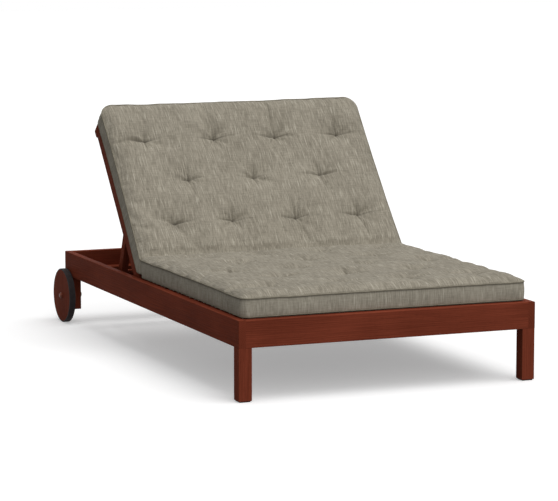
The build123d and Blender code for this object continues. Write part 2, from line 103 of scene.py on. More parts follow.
class Body(Enum):
    """The moving bodies of the chaise."""

    FRAME = "frame"
    BACKREST = "backrest"
    PROP = "prop"
    LEFT_WHEEL = "left_wheel"
    RIGHT_WHEEL = "right_wheel"


class Grain(Enum):
    """The axis of a board's own frame that its grain runs along."""

    ACROSS = 0
    ALONG = 1
    UPRIGHT = 2


# Node trees


class NodeTree:
    """A node tree that is built one node at a time."""

    def __init__(self, tree: bpy.types.NodeTree) -> None:
        """Start from an empty tree."""
        self.tree = tree
        tree.nodes.clear()

    def node(
        self, kind: str, settings: dict[str, Any] | None = None, inputs: dict[str, Any] | None = None
    ) -> Node:
        """Add one node.

        Args:
            kind: the node's type.
            settings: its properties, which are set first.
            inputs: what each socket gets, by name or identifier: a number, a Value, an output or a node.

        Returns:
            The new node.
        """
        made = self.tree.nodes.new(kind)
        for name, setting in (settings or {}).items():
            setattr(made, name, setting)
        for name, given in (inputs or {}).items():
            self.feed(next(s for s in made.inputs if name in (s.identifier, s.name)), given)
        return made

    def feed(self, socket: NodeSocket, given: Any) -> None:
        """Set a socket's value, or link it to an output or to the first output of a node."""
        if isinstance(given, Value):
            given = given.socket
        if isinstance(given, Node):
            given = given.outputs[0]
        if isinstance(given, NodeSocket):
            self.tree.links.new(given, socket)
        else:
            socket.default_value = given

    def math(self, operation: str, *terms: "Value | float") -> "Value":
        """Add a Math node.

        Args:
            operation: what it does.
            terms: its numbers, in order.

        Returns:
            Its result.
        """
        made = self.node("ShaderNodeMath", {"operation": operation})
        for socket, term in zip(made.inputs, terms):
            self.feed(socket, term)
        return Value(self, made.outputs[0])


class Value:
    """A number in a node tree, on which Python expressions add Math nodes."""

    def __init__(self, tree: NodeTree, socket: NodeSocket) -> None:
        """Wrap an output of the tree."""
        self.tree = tree
        self.socket = socket

    def __add__(self, other: "Value | float") -> "Value":
        """Sum."""
        return self.tree.math("ADD", self, other)

    __radd__ = __add__

    def __sub__(self, other: "Value | float") -> "Value":
        """Difference."""
        return self.tree.math("SUBTRACT", self, other)

    def __rsub__(self, other: float) -> "Value":
        """Difference, with the plain number first."""
        return self.tree.math("SUBTRACT", other, self)

    def __mul__(self, other: "Value | float") -> "Value":
        """Product."""
        return self.tree.math("MULTIPLY", self, other)

    __rmul__ = __mul__

    def __truediv__(self, other: "Value | float") -> "Value":
        """Quotient."""
        return self.tree.math("DIVIDE", self, other)

    def __abs__(self) -> "Value":
        """Distance from zero."""
        return self.tree.math("ABSOLUTE", self)

    def wave(self) -> "Value":
        """A wave from 0 to 1, once for each whole number."""
        return self.tree.math("SINE", self * math.tau) * 0.5 + 0.5

    def most(self, other: "Value | float") -> "Value":
        """The larger of the two."""
        return self.tree.math("MAXIMUM", self, other)

    def rise(self, low: float, high: float) -> "Value":
        """A smooth step from 0 at low to 1 at high."""
        step = self.tree.node(
            "ShaderNodeMapRange",
            {"interpolation_type": "SMOOTHSTEP"},
            {"Value": self, "From Min": low, "From Max": high},
        )
        return Value(self.tree, step.outputs[0])


class ShaderTree(NodeTree):
    """The node tree of one material."""

    def __init__(self, name: str) -> None:
        """Make the material and its output."""
        self.material = bpy.data.materials.new(name)
        self.material.use_nodes = True
        super().__init__(self.material.node_tree)

    def parts(self, vector: Node | NodeSocket) -> tuple[Value, ...]:
        """The three numbers of a vector."""
        split = self.node("ShaderNodeSeparateXYZ", inputs={"Vector": vector})
        return tuple(Value(self, part) for part in split.outputs)

    def noise(self, x: Value | float, y: Value | float, z: Value | float, detail: float = 2.0) -> Value:
        """Soft noise whose grains are about one unit across.

        Args:
            x, y, z: where to read it, stretched as the grain should be.
            detail: how many finer layers it has.

        Returns:
            The noise, around 0.5.
        """
        place = self.node("ShaderNodeCombineXYZ", inputs={"X": x, "Y": y, "Z": z})
        made = self.node("ShaderNodeTexNoise", inputs={"Vector": place, "Scale": 1.0, "Detail": detail})
        return Value(self, made.outputs[0])

    def mix(self, share: Value, first: Any, second: Any) -> NodeSocket:
        """Blend from one colour to another by a share."""
        colours = {"Factor_Float": share, "A_Color": first, "B_Color": second}
        made = self.node("ShaderNodeMix", {"data_type": "RGBA"}, colours)
        return next(s for s in made.outputs if s.identifier == "Result_Color")

    def bump(self, height: Value, depth: float, strength: float) -> Node:
        """A relief of the given depth in metres."""
        return self.node("ShaderNodeBump", inputs={"Height": height, "Distance": depth, "Strength": strength})

    def surface(self, **sockets: Any) -> Material:
        """Close the tree with a shader.

        Args:
            sockets: the shader's sockets, with underscores for their spaces.

        Returns:
            The finished material.
        """
        named = {name.replace("_", " "): given for name, given in sockets.items()}
        shader = self.node("ShaderNodeBsdfPrincipled", inputs=named)
        self.node("ShaderNodeOutputMaterial", inputs={"Surface": shader})
        return self.material


class PieceTree(NodeTree):
    """A geometry tree with named sizes that grows finished pieces out of points or edges."""

    def __init__(self, name: str, sizes: dict[str, float]) -> None:
        """Make the tree and its inputs.

        Args:
            name: the tree's name.
            sizes: its named sizes in metres.
        """
        super().__init__(bpy.data.node_groups.new(name, "GeometryNodeTree"))
        add = self.tree.interface.new_socket
        add("Geometry", in_out="INPUT", socket_type="NodeSocketGeometry")
        for size, length in sizes.items():
            add(size, in_out="INPUT", socket_type="NodeSocketFloat").default_value = length
        add("Material", in_out="INPUT", socket_type="NodeSocketMaterial")
        add("Geometry", in_out="OUTPUT", socket_type="NodeSocketGeometry")
        self.sizes = sizes
        self.entry = self.node("NodeGroupInput").outputs

    def stamp(self, shape: Node) -> Node:
        """Put a shape on every point of the input, turned the way that the point faces."""
        facing = self.node(
            "GeometryNodeInputNamedAttribute", {"data_type": "FLOAT_VECTOR"}, {"Name": "facing"}
        )
        turn = self.node("FunctionNodeAlignRotationToVector", {"axis": "Z"}, {"Vector": facing})
        points = self.entry["Geometry"]
        return self.node(
            "GeometryNodeInstanceOnPoints", inputs={"Points": points, "Instance": shape, "Rotation": turn}
        )

    def close(self, grown: Node) -> None:
        """End the tree: shade smooth, make instances real and set the material."""
        smooth = self.node("GeometryNodeSetShadeSmooth", inputs={"Geometry": grown})
        real = self.node("GeometryNodeRealizeInstances", inputs={"Geometry": smooth})
        material = self.entry["Material"]
        dressed = self.node("GeometryNodeSetMaterial", inputs={"Geometry": real, "Material": material})
        self.node("NodeGroupOutput", inputs={"Geometry": dressed})

    def grow(self, name: str, seed_mesh: Mesh, finish: Material) -> Object:
        """Run the tree on a mesh of points or edges.

        Args:
            name: the piece's name.
            seed_mesh: what it grows out of.
            finish: the material of the piece.

        Returns:
            A plain mesh object with no modifier.
        """
        seed = new_object(name + "_seed", seed_mesh)
        modifier = seed.modifiers.new(name, "NODES")
        modifier.node_group = self.tree
        given = self.sizes | {"Material": finish}
        for item in self.tree.interface.items_tree:
            if item.in_out == "INPUT" and item.name in given:
                modifier[item.identifier] = given[item.name]
        grown = seed.evaluated_get(bpy.context.evaluated_depsgraph_get())
        piece = new_object(name, bpy.data.meshes.new_from_object(grown))
        bpy.data.objects.remove(seed)
        return piece


def new_object(name: str, mesh: Mesh) -> Object:
    """Put a mesh in the scene under a name."""
    piece = bpy.data.objects.new(name, mesh)
    bpy.context.scene.collection.objects.link(piece)
    return piece


def points_mesh(name: str, places: Sequence[Point], facing: Sequence[Point]) -> Mesh:
    """Make a mesh of loose points that each know which way they face.

    Args:
        name: the mesh's name.
        places: where the points are.
        facing: a direction for each.

    Returns:
        The mesh, with a vector attribute called facing.
    """
    mesh = bpy.data.meshes.new(name)
    mesh.from_pydata([tuple(place) for place in places], [], [])
    attribute = mesh.attributes.new("facing", "FLOAT_VECTOR", "POINT")
    attribute.data.foreach_set("vector", np.array(facing, np.float32).ravel())
    return mesh


def grid_faces(rows: int, columns: int) -> Array:
    """The four corners of every face of a grid of points that are numbered row by row."""
    index = np.arange(rows * columns).reshape(rows, columns)
    return np.stack([index[:-1, :-1], index[:-1, 1:], index[1:, 1:], index[1:, :-1]], -1).reshape(-1, 4)


# Finishes


@dataclass(frozen=True)
class Layer:
    """One layer of noise in a finish.

    Args:
        scale: how many grains it has in a metre, each way.
        detail: how many finer layers are in it.
        low, high: the levels of the noise between which it rises from 0 to 1.
        share: how much it counts in the colour.
        level: how far up the noise it is cut, so that no two layers agree.
    """

    scale: Point
    detail: int
    low: float
    high: float
    share: float
    level: float = 0.0

    def read(self, tree: ShaderTree, place: Sequence[Value | float], shift: Point = (0.0, 0.0, 0.0)) -> Value:
        """Add the layer to a material.

        Args:
            tree: the material's tree.
            place: where the layer is read, in metres.
            shift: how far it is moved each way, in grains.

        Returns:
            The layer, from 0 to 1.
        """
        x, y, z = (at * scale + move for at, scale, move in zip(place, self.scale, shift))
        return tree.noise(x, y, z + self.level, self.detail).rise(self.low, self.high)


@dataclass(frozen=True)
class Board:
    """A wooden node: how its grain runs and how far it leans back.

    Args:
        node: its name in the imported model.
        grain: the way of its grain, in its own frame.
        lean: its turn about X, in radians.
        joints: places across it, from its middle, where boards are glued edge to edge.
    """

    node: str
    grain: Grain
    lean: float = 0.0
    joints: tuple[float, ...] = ()

    def extent(self) -> tuple[Point, Point]:
        """Measure the node in its own frame.

        Returns:
            Its centre in the row frame, and half its size each way in its own frame.
        """
        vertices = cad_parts[self.node].data.vertices
        places = np.empty(len(vertices) * 3)
        vertices.foreach_get("co", places)
        x, y, z = places.reshape(-1, 3).T
        cosine, sine = math.cos(self.lean), math.sin(self.lean)
        own = np.array([x, y * cosine + z * sine, z * cosine - y * sine])
        middle = (own.min(1) + own.max(1)) / 2
        centre = (middle[0], middle[1] * cosine - middle[2] * sine, middle[1] * sine + middle[2] * cosine)
        return centre, tuple((own.max(1) - own.min(1)) / 2)


@dataclass(frozen=True)
class StainedWood:
    """Dense red-brown hardwood under a satin stain.

    Args:
        heart, sap, pore, worn: its colours, of dense and pale wood, of pores and of rubbed edges.
        ring_gap: distance between the rings.
        pith: where the middle of the tree lies beside a board's own.
        edge_width: how far the rubbing of an edge reaches.
        fibre, blotch, fleck: its fine streaks, its slow changes and its pores.
        ring_share, worn_share, joint_share: how much the rings, the rubbed edges and the joints count.
        roughness, shine: the shader's roughness and specular level.
        relief: depth of the pores in metres.
    """

    heart: Colour = paint(99, 45, 31)
    sap: Colour = paint(136, 66, 47)
    pore: Colour = paint(44, 18, 12)
    worn: Colour = paint(158, 88, 66)
    ring_gap: float = 0.007
    pith: Pair = (0.05, -0.07)
    edge_width: float = 0.0035
    fibre: Layer = Layer((7.0, 380.0, 380.0), 3, 0.3, 0.72, 0.42)
    blotch: Layer = Layer((3.0, 6.0, 6.0), 2, 0.3, 0.7, 0.38)
    fleck: Layer = Layer((42.0, 1500.0, 1500.0), 1, 0.6, 0.72, 0.45)
    ring_share: float = 0.2
    worn_share: float = 0.35
    joint_share: float = 0.9
    roughness: float = 0.42
    shine: float = 0.003
    relief: float = 0.0003

    def dress(self, board: Board, seed: float) -> Material:
        """Make the material of one board, cut from its own place in the tree.

        Args:
            board: the piece and the way of its grain.
            seed: a number that no other board has.

        Returns:
            The material.
        """
        tree = ShaderTree("wood_" + board.node)
        centre, half = board.extent()
        seen = tree.node("ShaderNodeTexCoord")
        own = tree.node(
            "ShaderNodeMapping",
            {"vector_type": "TEXTURE"},
            {"Vector": seen.outputs["Object"], "Location": centre, "Rotation": (board.lean, 0.0, 0.0)},
        )
        axes = tree.parts(own)
        way = board.grain.value
        along, side, rise = axes[way], axes[way - 2], axes[way - 1]
        half_side, half_rise = half[way - 2], half[way - 1]

        drift = tree.noise(along * 1.6 + seed, side * 7, rise * 7, 1)
        off_side = side + (self.pith[0] + 0.03 * math.sin(seed))
        off_rise = rise - (self.pith[1] + 0.02 * math.cos(seed * 2))
        reach = tree.math("SQRT", off_side * off_side + off_rise * off_rise)
        rings = (reach / self.ring_gap + drift * 5).wave()
        place = (along, side, rise)
        fibre = self.fibre.read(tree, place, (0.0, seed, 0.0))
        fleck = self.fleck.read(tree, place, (0.0, 0.0, seed))
        blotch = self.blotch.read(tree, place, (seed, 0.0, 0.0))

        ways = {"Vector": seen.outputs["Normal"], "Vector_001": self._grain_line(board)}
        facing = tree.node("ShaderNodeVectorMath", {"operation": "DOT_PRODUCT"}, ways)
        end = abs(Value(tree, facing.outputs["Value"])).rise(0.6, 0.9)
        to_edge = (half_side - abs(side)).most(half_rise - abs(rise))
        wear = (1 - to_edge.rise(0.0, self.edge_width)) * fibre * (1 - end)

        tone = fibre * self.fibre.share + rings * self.ring_share + blotch * self.blotch.share
        colour = tree.mix(tone, self.heart, self.sap)
        colour = tree.mix(wear * self.worn_share, colour, self.worn)
        dark = (fleck * self.fleck.share).most(end * (0.06 + 0.12 * fibre))
        for joint in board.joints:
            gap = 1 - abs(side - joint).rise(0.0004, 0.0016)
            dark = dark.most(gap * self.joint_share)
        colour = tree.mix(dark, colour, self.pore)
        relief = fibre * 0.5 + rings * 0.15 - dark
        return tree.surface(
            Base_Color=colour,
            Roughness=self.roughness + fibre * 0.1 + wear * 0.1 + end * 0.2,
            Specular_IOR_Level=self.shine,
            Normal=tree.bump(relief, self.relief, 0.5),
        )

    @staticmethod
    def _grain_line(board: Board) -> Point:
        """The direction of a board's grain in the row frame."""
        lines = {
            Grain.ACROSS: (1.0, 0.0, 0.0),
            Grain.ALONG: (0.0, math.cos(board.lean), math.sin(board.lean)),
            Grain.UPRIGHT: (0.0, -math.sin(board.lean), math.cos(board.lean)),
        }
        return lines[board.grain]


@dataclass(frozen=True)
class WovenCloth:
    """Heathered outdoor cloth with slubs along the warp, read from the cover's own map in metres.

    Args:
        name: the material's name.
        band_start, band_painted_light: where the side bands' part of the map starts, and the painted light
            that makes them paler.
        pale, deep, slub, shadow: the colours of its threads.
        slubs, fine, weft, patch: the layers of its tone.
        streak, knot: its pale streaks and its dark knots.
        painted_shade_colour: the painted shade, where the cover's painted_shade attribute says a fold or seam
            shuts the light out.
        thread_pitch: distance between two threads.
        roughness, shine, sheen: the shader's levels.
        relief: depth of the weave in metres.
    """

    name: str = "heathered_cloth"
    band_start: float = 3.0
    band_painted_light: float = 0.12
    pale: Colour = paint(170, 163, 148)
    deep: Colour = paint(110, 104, 91)
    slub: Colour = paint(206, 200, 184)
    shadow: Colour = paint(82, 76, 66)
    painted_shade_colour: Colour = paint(66, 61, 53)
    slubs: Layer = Layer((180.0, 19.0, 0.0), 3, 0.28, 0.74, 0.42)
    fine: Layer = Layer((480.0, 42.0, 0.0), 2, 0.3, 0.7, 0.2, level=3.0)
    weft: Layer = Layer((20.0, 300.0, 0.0), 2, 0.3, 0.72, 0.24, level=7.0)
    patch: Layer = Layer((8.0, 5.0, 0.0), 2, 0.3, 0.7, 0.14, level=11.0)
    streak: Layer = Layer((260.0, 14.0, 0.0), 1, 0.59, 0.72, 0.42, level=23.0)
    knot: Layer = Layer((170.0, 90.0, 0.0), 1, 0.66, 0.8, 0.5, level=17.0)
    thread_pitch: float = 0.0015
    roughness: float = 0.88
    shine: float = 0.1
    sheen: float = 0.05
    relief: float = 0.0004

    def dress(self, uv_map: str) -> Material:
        """Make the cloth for a cover with the named map."""
        tree = ShaderTree(self.name)
        across, along, _ = tree.parts(tree.node("ShaderNodeUVMap", {"uv_map": uv_map}).outputs["UV"])
        wander = tree.noise(across * 5, along * 5, 0.0, 1) * 0.006
        straight, wandering = (across, along, 0.0), (across + wander, along, 0.0)
        slub, fine, streak = (kind.read(tree, wandering) for kind in (self.slubs, self.fine, self.streak))
        weft, patch, knot = (kind.read(tree, straight) for kind in (self.weft, self.patch, self.knot))
        tone = slub * self.slubs.share + fine * self.fine.share
        tone = tone + weft * self.weft.share + patch * self.patch.share
        colour = tree.mix(tone, self.deep, self.pale)
        colour = tree.mix(streak * self.streak.share, colour, self.slub)
        colour = tree.mix(knot * self.knot.share, colour, self.shadow)
        # painted light: the side bands are painted paler, in place of more light falling on them
        on_band = across.rise(self.band_start - 0.6, self.band_start - 0.4)
        colour = tree.mix(on_band * self.band_painted_light, colour, self.slub)
        # painted shade: the cloth darkens by the cover's shade attribute, in the creases at the ties, beside
        # the seat's seams, at both ends and just under the upper piping
        painted_shade = Value(tree, tree.node("ShaderNodeAttribute", {"attribute_name": "painted_shade"}).outputs["Fac"])
        colour = tree.mix(painted_shade, colour, self.painted_shade_colour)
        weave = (across / self.thread_pitch).wave() * (along / self.thread_pitch).wave()
        relief = weave * 0.6 + slub * 0.5 + weft * 0.3
        return tree.surface(
            Base_Color=colour,
            Roughness=self.roughness + fine * 0.1,
            Specular_IOR_Level=self.shine,
            Sheen_Weight=self.sheen,
            Normal=tree.bump(relief, self.relief, 0.5),
        )


@dataclass(frozen=True)
class PlainFinish:
    """A finish with one colour that varies a little, on metal, rubber, plastic, cord or thread.

    Args:
        name: the material's name.
        light, dark: its two colours.
        grain: how many grains of variation it has in a metre.
        roughness, spread: the roughness and how much it varies.
        metallic: 1 for bare metal.
        shine: the shader's specular level.
        relief: depth of its surface texture in metres.
    """

    name: str
    light: Colour
    dark: Colour
    grain: Point
    roughness: float
    spread: float
    metallic: float = 0.0
    shine: float = 0.5
    relief: float = 0.0001

    def dress(self) -> Material:
        """Make the material."""
        tree = ShaderTree(self.name)
        place = tree.parts(tree.node("ShaderNodeTexCoord").outputs["Object"])
        layers = (Layer(self.grain, 3, 0.3, 0.7, share=0.6), Layer((40.0,) * 3, 2, 0.3, 0.7, share=0.4))
        fine, broad = (layer.read(tree, place) for layer in layers)
        tone = fine * layers[0].share + broad * layers[1].share
        return tree.surface(
            Base_Color=tree.mix(tone, self.dark, self.light),
            Roughness=self.roughness + fine * self.spread,
            Metallic=self.metallic,
            Specular_IOR_Level=self.shine,
            Normal=tree.bump(fine, self.relief, 0.4),
        )


STEEL = PlainFinish(
    "plated_steel", paint(196, 194, 188), paint(150, 147, 140), (900.0, 120.0, 900.0), 0.28, 0.2, metallic=1.0
)
CAP_LACQUER = PlainFinish(
    "brown_lacquer", paint(140, 84, 68), paint(96, 50, 38), (300.0,) * 3, 0.34, 0.12, shine=0.12
)
RUBBER = PlainFinish(
    "tyre_rubber", paint(56, 50, 50), paint(38, 34, 35), (700.0,) * 3, 0.6, 0.2, shine=0.12, relief=0.0002
)
GLIDE_PLASTIC = PlainFinish(
    "glide_plastic", paint(46, 44, 43), paint(32, 31, 30), (500.0,) * 3, 0.5, 0.15, shine=0.2
)
SEWN = {"spread": 0.1, "shine": 0.05, "relief": 0.0003}
PIPING = PlainFinish(
    "piping_cloth", paint(150, 144, 128), paint(112, 106, 92), (900.0,) * 3, roughness=0.85, **SEWN
)
THREAD = PlainFinish(
    "tie_thread", paint(118, 111, 97), paint(84, 78, 67), (1500.0,) * 3, roughness=0.8, **SEWN
)


# Sub-assemblies


@dataclass(frozen=True)
class Screws:
    """The low countersunk heads of the screws that hold the slats.

    Args:
        radius, height: size of a head.
        top_share: how much narrower its top is.
        corners: how many sides a head is drawn with.
        inset: how far the end screws are from a slat's end.
        spread: how far from a slat's middle line the screws of a pair are.
    """

    radius: float = 0.0042
    height: float = 0.0008
    top_share: float = 0.7
    corners: int = 12
    inset: float = 0.010
    spread: float = 0.018

    def drive(self, name: str, places: Sequence[Point], way: Point, body: Body, finish: Material) -> Object:
        """Drive a screw in at every place.

        Args:
            name: the name of the piece that all the heads make.
            places: where the heads are.
            way: the direction that they face.
            body: what they move with.
            finish: their material.

        Returns:
            The piece.
        """
        tree = PieceTree("screw_heads", {"Head Radius": self.radius, "Head Height": self.height})
        radius = tree.entry["Head Radius"]
        sizes = {
            "Vertices": self.corners,
            "Radius Top": Value(tree, radius) * self.top_share,
            "Radius Bottom": radius,
            "Depth": tree.entry["Head Height"],
        }
        tree.close(tree.stamp(tree.node("GeometryNodeMeshCone", inputs=sizes)))
        piece = tree.grow(name, points_mesh(name, places, [way] * len(places)), finish)
        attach(piece, body.value)
        return piece


SCREWS = Screws()


class DeckFrame:
    """Legs, rails, slats, racks and fasteners, none of which moves."""

    def boards(self) -> list[Board]:
        """Every wooden node of the frame, with the way of its grain."""
        along = [f"{side}_{part}" for part in ("side_rail", "slat_cleat") for side in SIDES]
        along += ["centre_beam", "left_rack", "right_rack"]
        across = [f"{place}_rail" for place in ("foot", "head", "hinge_cross", "front_rack", "rear_rack")]
        across += ["head_ledge"]
        upright = [f"{end}_{side}_leg" for end in ("front", "rear") for side in SIDES]
        return (
            [Board(node, Grain.ALONG) for node in along]
            + [Board(node, Grain.ACROSS) for node in across + SEAT_SLATS]
            + [Board(node, Grain.UPRIGHT) for node in upright]
        )

    def metal(self) -> list[str]:
        """The nodes of bare steel."""
        return ["corner_bolts", "hinge_bolts", "axle_bolts", "axle_washers"]

    def screws(self, finish: Material) -> Object:
        """Drive two screws into each end and the middle of every seat slat."""
        places = []
        for slat in SEAT_SLATS:
            low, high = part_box(slat)
            middle = (low.y + high.y) / 2
            for x in (low.x + SCREWS.inset, 0.0, high.x - SCREWS.inset):
                for y in (middle - SCREWS.spread, middle + SCREWS.spread):
                    places.append((x, y, high.z))
        return SCREWS.drive("slat_screws", places, (0.0, 0.0, 1.0), Body.FRAME, finish)


@dataclass
class Backrest:
    """The reclining back frame, its slats and the prop that holds it up.

    Args:
        lean: the angle of the back above the deck, in radians.
        prop_lean: the turn of the prop's arms about X, in radians.
    """

    lean: float = math.radians(49.5)
    prop_lean: float = math.radians(-68.0)

    def boards(self) -> list[Board]:
        """Every wooden node of the back and the prop, with the way of its grain."""
        across = ["top_rail", "bottom_rail", *BACK_SLATS]
        along = ["left_stile", "right_stile", "centre_stile"]
        return (
            [Board(node, Grain.ACROSS, self.lean) for node in across]
            + [Board(node, Grain.ALONG, self.lean) for node in along]
            + [Board(f"{side}_prop_arm", Grain.ALONG, self.prop_lean) for side in SIDES]
            + [Board("foot_bar", Grain.ACROSS)]
        )

    def metal(self) -> list[str]:
        """The nodes of bare steel."""
        return ["prop_studs"]

    def screws(self, finish: Material) -> Object:
        """Drive two screws through every back slat into the centre stile."""
        up = (0.0, -math.sin(self.lean), math.cos(self.lean))
        along = (0.0, math.cos(self.lean), math.sin(self.lean))
        places = []
        for slat in BACK_SLATS:
            centre, half = Board(slat, Grain.ACROSS, self.lean).extent()
            for shift in (-SCREWS.spread, SCREWS.spread):
                places.append(tuple(c + u * half[2] + a * shift for c, u, a in zip(centre, up, along)))
        return SCREWS.drive("back_screws", places, up, Body.BACKREST, finish)


@dataclass
class Wheels:
    """Two discs glued up from boards, with rubber tyres and lacquered caps.

    Args:
        glue_lines: where the boards of a disc meet, from its middle.
    """

    glue_lines: tuple[float, ...] = (-0.058, -0.004, 0.052)

    def boards(self) -> list[Board]:
        """The two discs."""
        return [Board(f"{side}_wheel_disc", Grain.UPRIGHT, 0.0, self.glue_lines) for side in SIDES]

    def finishes(self) -> dict[str, PlainFinish]:
        """The finish of every other node of the wheels."""
        return {f"{s}_tyre": RUBBER for s in SIDES} | {f"{s}_hub_cap": CAP_LACQUER for s in SIDES}


@dataclass(frozen=True)
class Ribs:
    """The crossings of the pad one after another, as rows of (y, z) places.

    Args:
        base, seam, crown: the underside, the piped seam and the top of each crossing.
        line: the direction of the cover at each crossing.
        travel: distance along the cover from its front seam.
        end_gap: distance to the nearer end.
        fold_gap: distance to the fold.
    """

    base: Array
    seam: Array
    crown: Array
    line: Array
    travel: Array
    end_gap: Array
    fold_gap: Array

    def up(self) -> Array:
        """The direction off the cover at each crossing."""
        off = self.crown - self.seam
        return off / np.linalg.norm(off, axis=1, keepdims=True)


@dataclass(frozen=True)
class Rim:
    """The edge of the top of the cover, point by point, once round from the left front corner.

    Args:
        points: the numbers of its points in the grid of the top.
        rib: which crossing each is on.
        x, travel: where each is on the flat cover.
        out_x, out_travel: which way is outwards there, across and along the cover.
        run: how far round each is, and last the whole way round.
    """

    points: Array
    rib: Array
    x: Array
    travel: Array
    out_x: Array
    out_travel: Array
    run: Array


@dataclass(frozen=True)
class Crease:
    """A crease that runs out of a tie both ways.

    Args:
        depth, width: its size.
        shade, shade_width: how dark the painted shade down its line is, and how wide.
        sharpness: 2 for round sides, and less for steeper ones.
        shade_share: how much of the crease's length the painted shade has.
    """

    depth: float
    width: float
    shade: float
    shade_width: float
    sharpness: float = 1.6
    shade_share: float = 0.8

    def press(self, off: Array, out: Array, reach: Array) -> tuple[Array, Array]:
        """Work out what the crease does to the cover.

        Args:
            off: distances off its line.
            out: distances from the tie along its line.
            reach: how far it runs out on the side of each point.

        Returns:
            How deep each point sinks, and how dark its painted shade gets.
        """
        depth = self.depth * fade(off, self.width, self.sharpness) * fade(out, reach)
        return depth, self.shade * fade(off, self.shade_width) * fade(out, reach * self.shade_share)


@dataclass(frozen=True)
class Tuft:
    """What a tie does to the cover.

    Args:
        depth: how deep it pulls the cover down, in a wide and a narrow pit together.
        wide_share: the wide pit's part of that.
        wide_reach, narrow_reach: how far the two pits reach.
        narrow_power: how sharply the narrow one starts.
        squeeze: how much smaller distances count across the cover and along it.
        level, upright: the creases across the cover and along it.
        most_lean, most_bow: the most that they lean and bend.
        side_reaches, up_reaches, down_reaches: the shortest and the longest that they run each way.
        forces: the least and the most of the level crease's painted shade.
        slash_shade, slash_width, slash_rise, slash_length: a short line of painted shade beside the upright
        crease.
        slash_places: the least and the most that it lies beside.
        gather_reach: where the gathers round the tie are deepest.
        gathers: how many coarse and fine gathers there are, and their depths.
        dot_shade, dot_reach: the painted shade at the tie itself.
        darkest: the most that all the painted shades together may be.
    """

    depth: float = 0.0125
    wide_share: float = 0.62
    wide_reach: float = 0.070
    narrow_reach: float = 0.026
    narrow_power: float = 1.2
    squeeze: Pair = (0.85, 1.15)
    level: Crease = Crease(0.0070, 0.0050, 0.52, 0.0032)
    upright: Crease = Crease(0.0045, 0.0055, 0.40, 0.0034)
    most_lean: float = 0.07
    most_bow: float = 0.9
    side_reaches: Pair = (0.045, 0.085)
    up_reaches: Pair = (0.030, 0.065)
    down_reaches: Pair = (0.025, 0.050)
    forces: Pair = (0.55, 1.25)
    slash_shade: float = 0.30
    slash_width: float = 0.0034
    slash_rise: float = 0.022
    slash_length: float = 0.018
    slash_places: Pair = (0.010, 0.016)
    gather_reach: float = 0.036
    gathers: tuple[tuple[int, float], ...] = ((5, 0.0023), (9, 0.0015))
    dot_shade: float = 0.08
    dot_reach: float = 0.009
    darkest: float = 0.8

    def pit(self, dx: Array, dt: Array) -> Array:
        """How deep the pit is at distances across and along the cover from the tie."""
        gap = np.hypot(dx * self.squeeze[0], dt * self.squeeze[1])
        narrow = (1 - self.wide_share) * fade(gap, self.narrow_reach, self.narrow_power)
        return self.depth * (self.wide_share * fade(gap, self.wide_reach) + narrow)

    def wrinkle(self, dx: Array, dt: Array, random: np.random.Generator) -> tuple[Array, Array]:
        """Draw the creases and gathers that run out of the tie, no two alike.

        Args:
            dx, dt: distances across and along the cover from the tie.
            random: where the differences come from.

        Returns:
            How deep each point sinks, and how dark its painted shade gets.
        """
        lean = random.uniform(-self.most_lean, self.most_lean)
        bow = random.uniform(-self.most_bow, self.most_bow)
        left, right = random.uniform(*self.side_reaches), random.uniform(*self.side_reaches)
        up, down = random.uniform(*self.up_reaches), random.uniform(*self.down_reaches)
        phase, force = random.uniform(0, 6), random.uniform(*self.forces)
        beside = random.choice([-1, 1]) * random.uniform(*self.slash_places)
        # painted shade: the creases, a slash beside the upright one and the tie itself get dark lines where
        # the folds keep the light out
        depth, shade = self.level.press(dt - lean * dx - bow * dx**2, dx, np.where(dx < 0, left, right))
        shade *= force
        sunk, dark = self.upright.press(dx + lean * dt + bow * dt**2, dt, np.where(dt < 0, down, up))
        depth += sunk
        shade += dark
        slash = fade(dx - beside, self.slash_width) * fade(dt - self.slash_rise, self.slash_length)
        shade += self.slash_shade * slash
        gap, turn = np.hypot(dx, dt), np.arctan2(dt, dx)
        ring = gap / self.gather_reach * np.exp(1 - gap / self.gather_reach)
        for shift, (count, size) in enumerate(self.gathers, 1):
            depth += size * ring * np.cos(count * turn + shift * phase)
        return depth, shade + self.dot_shade * fade(gap, self.dot_reach)


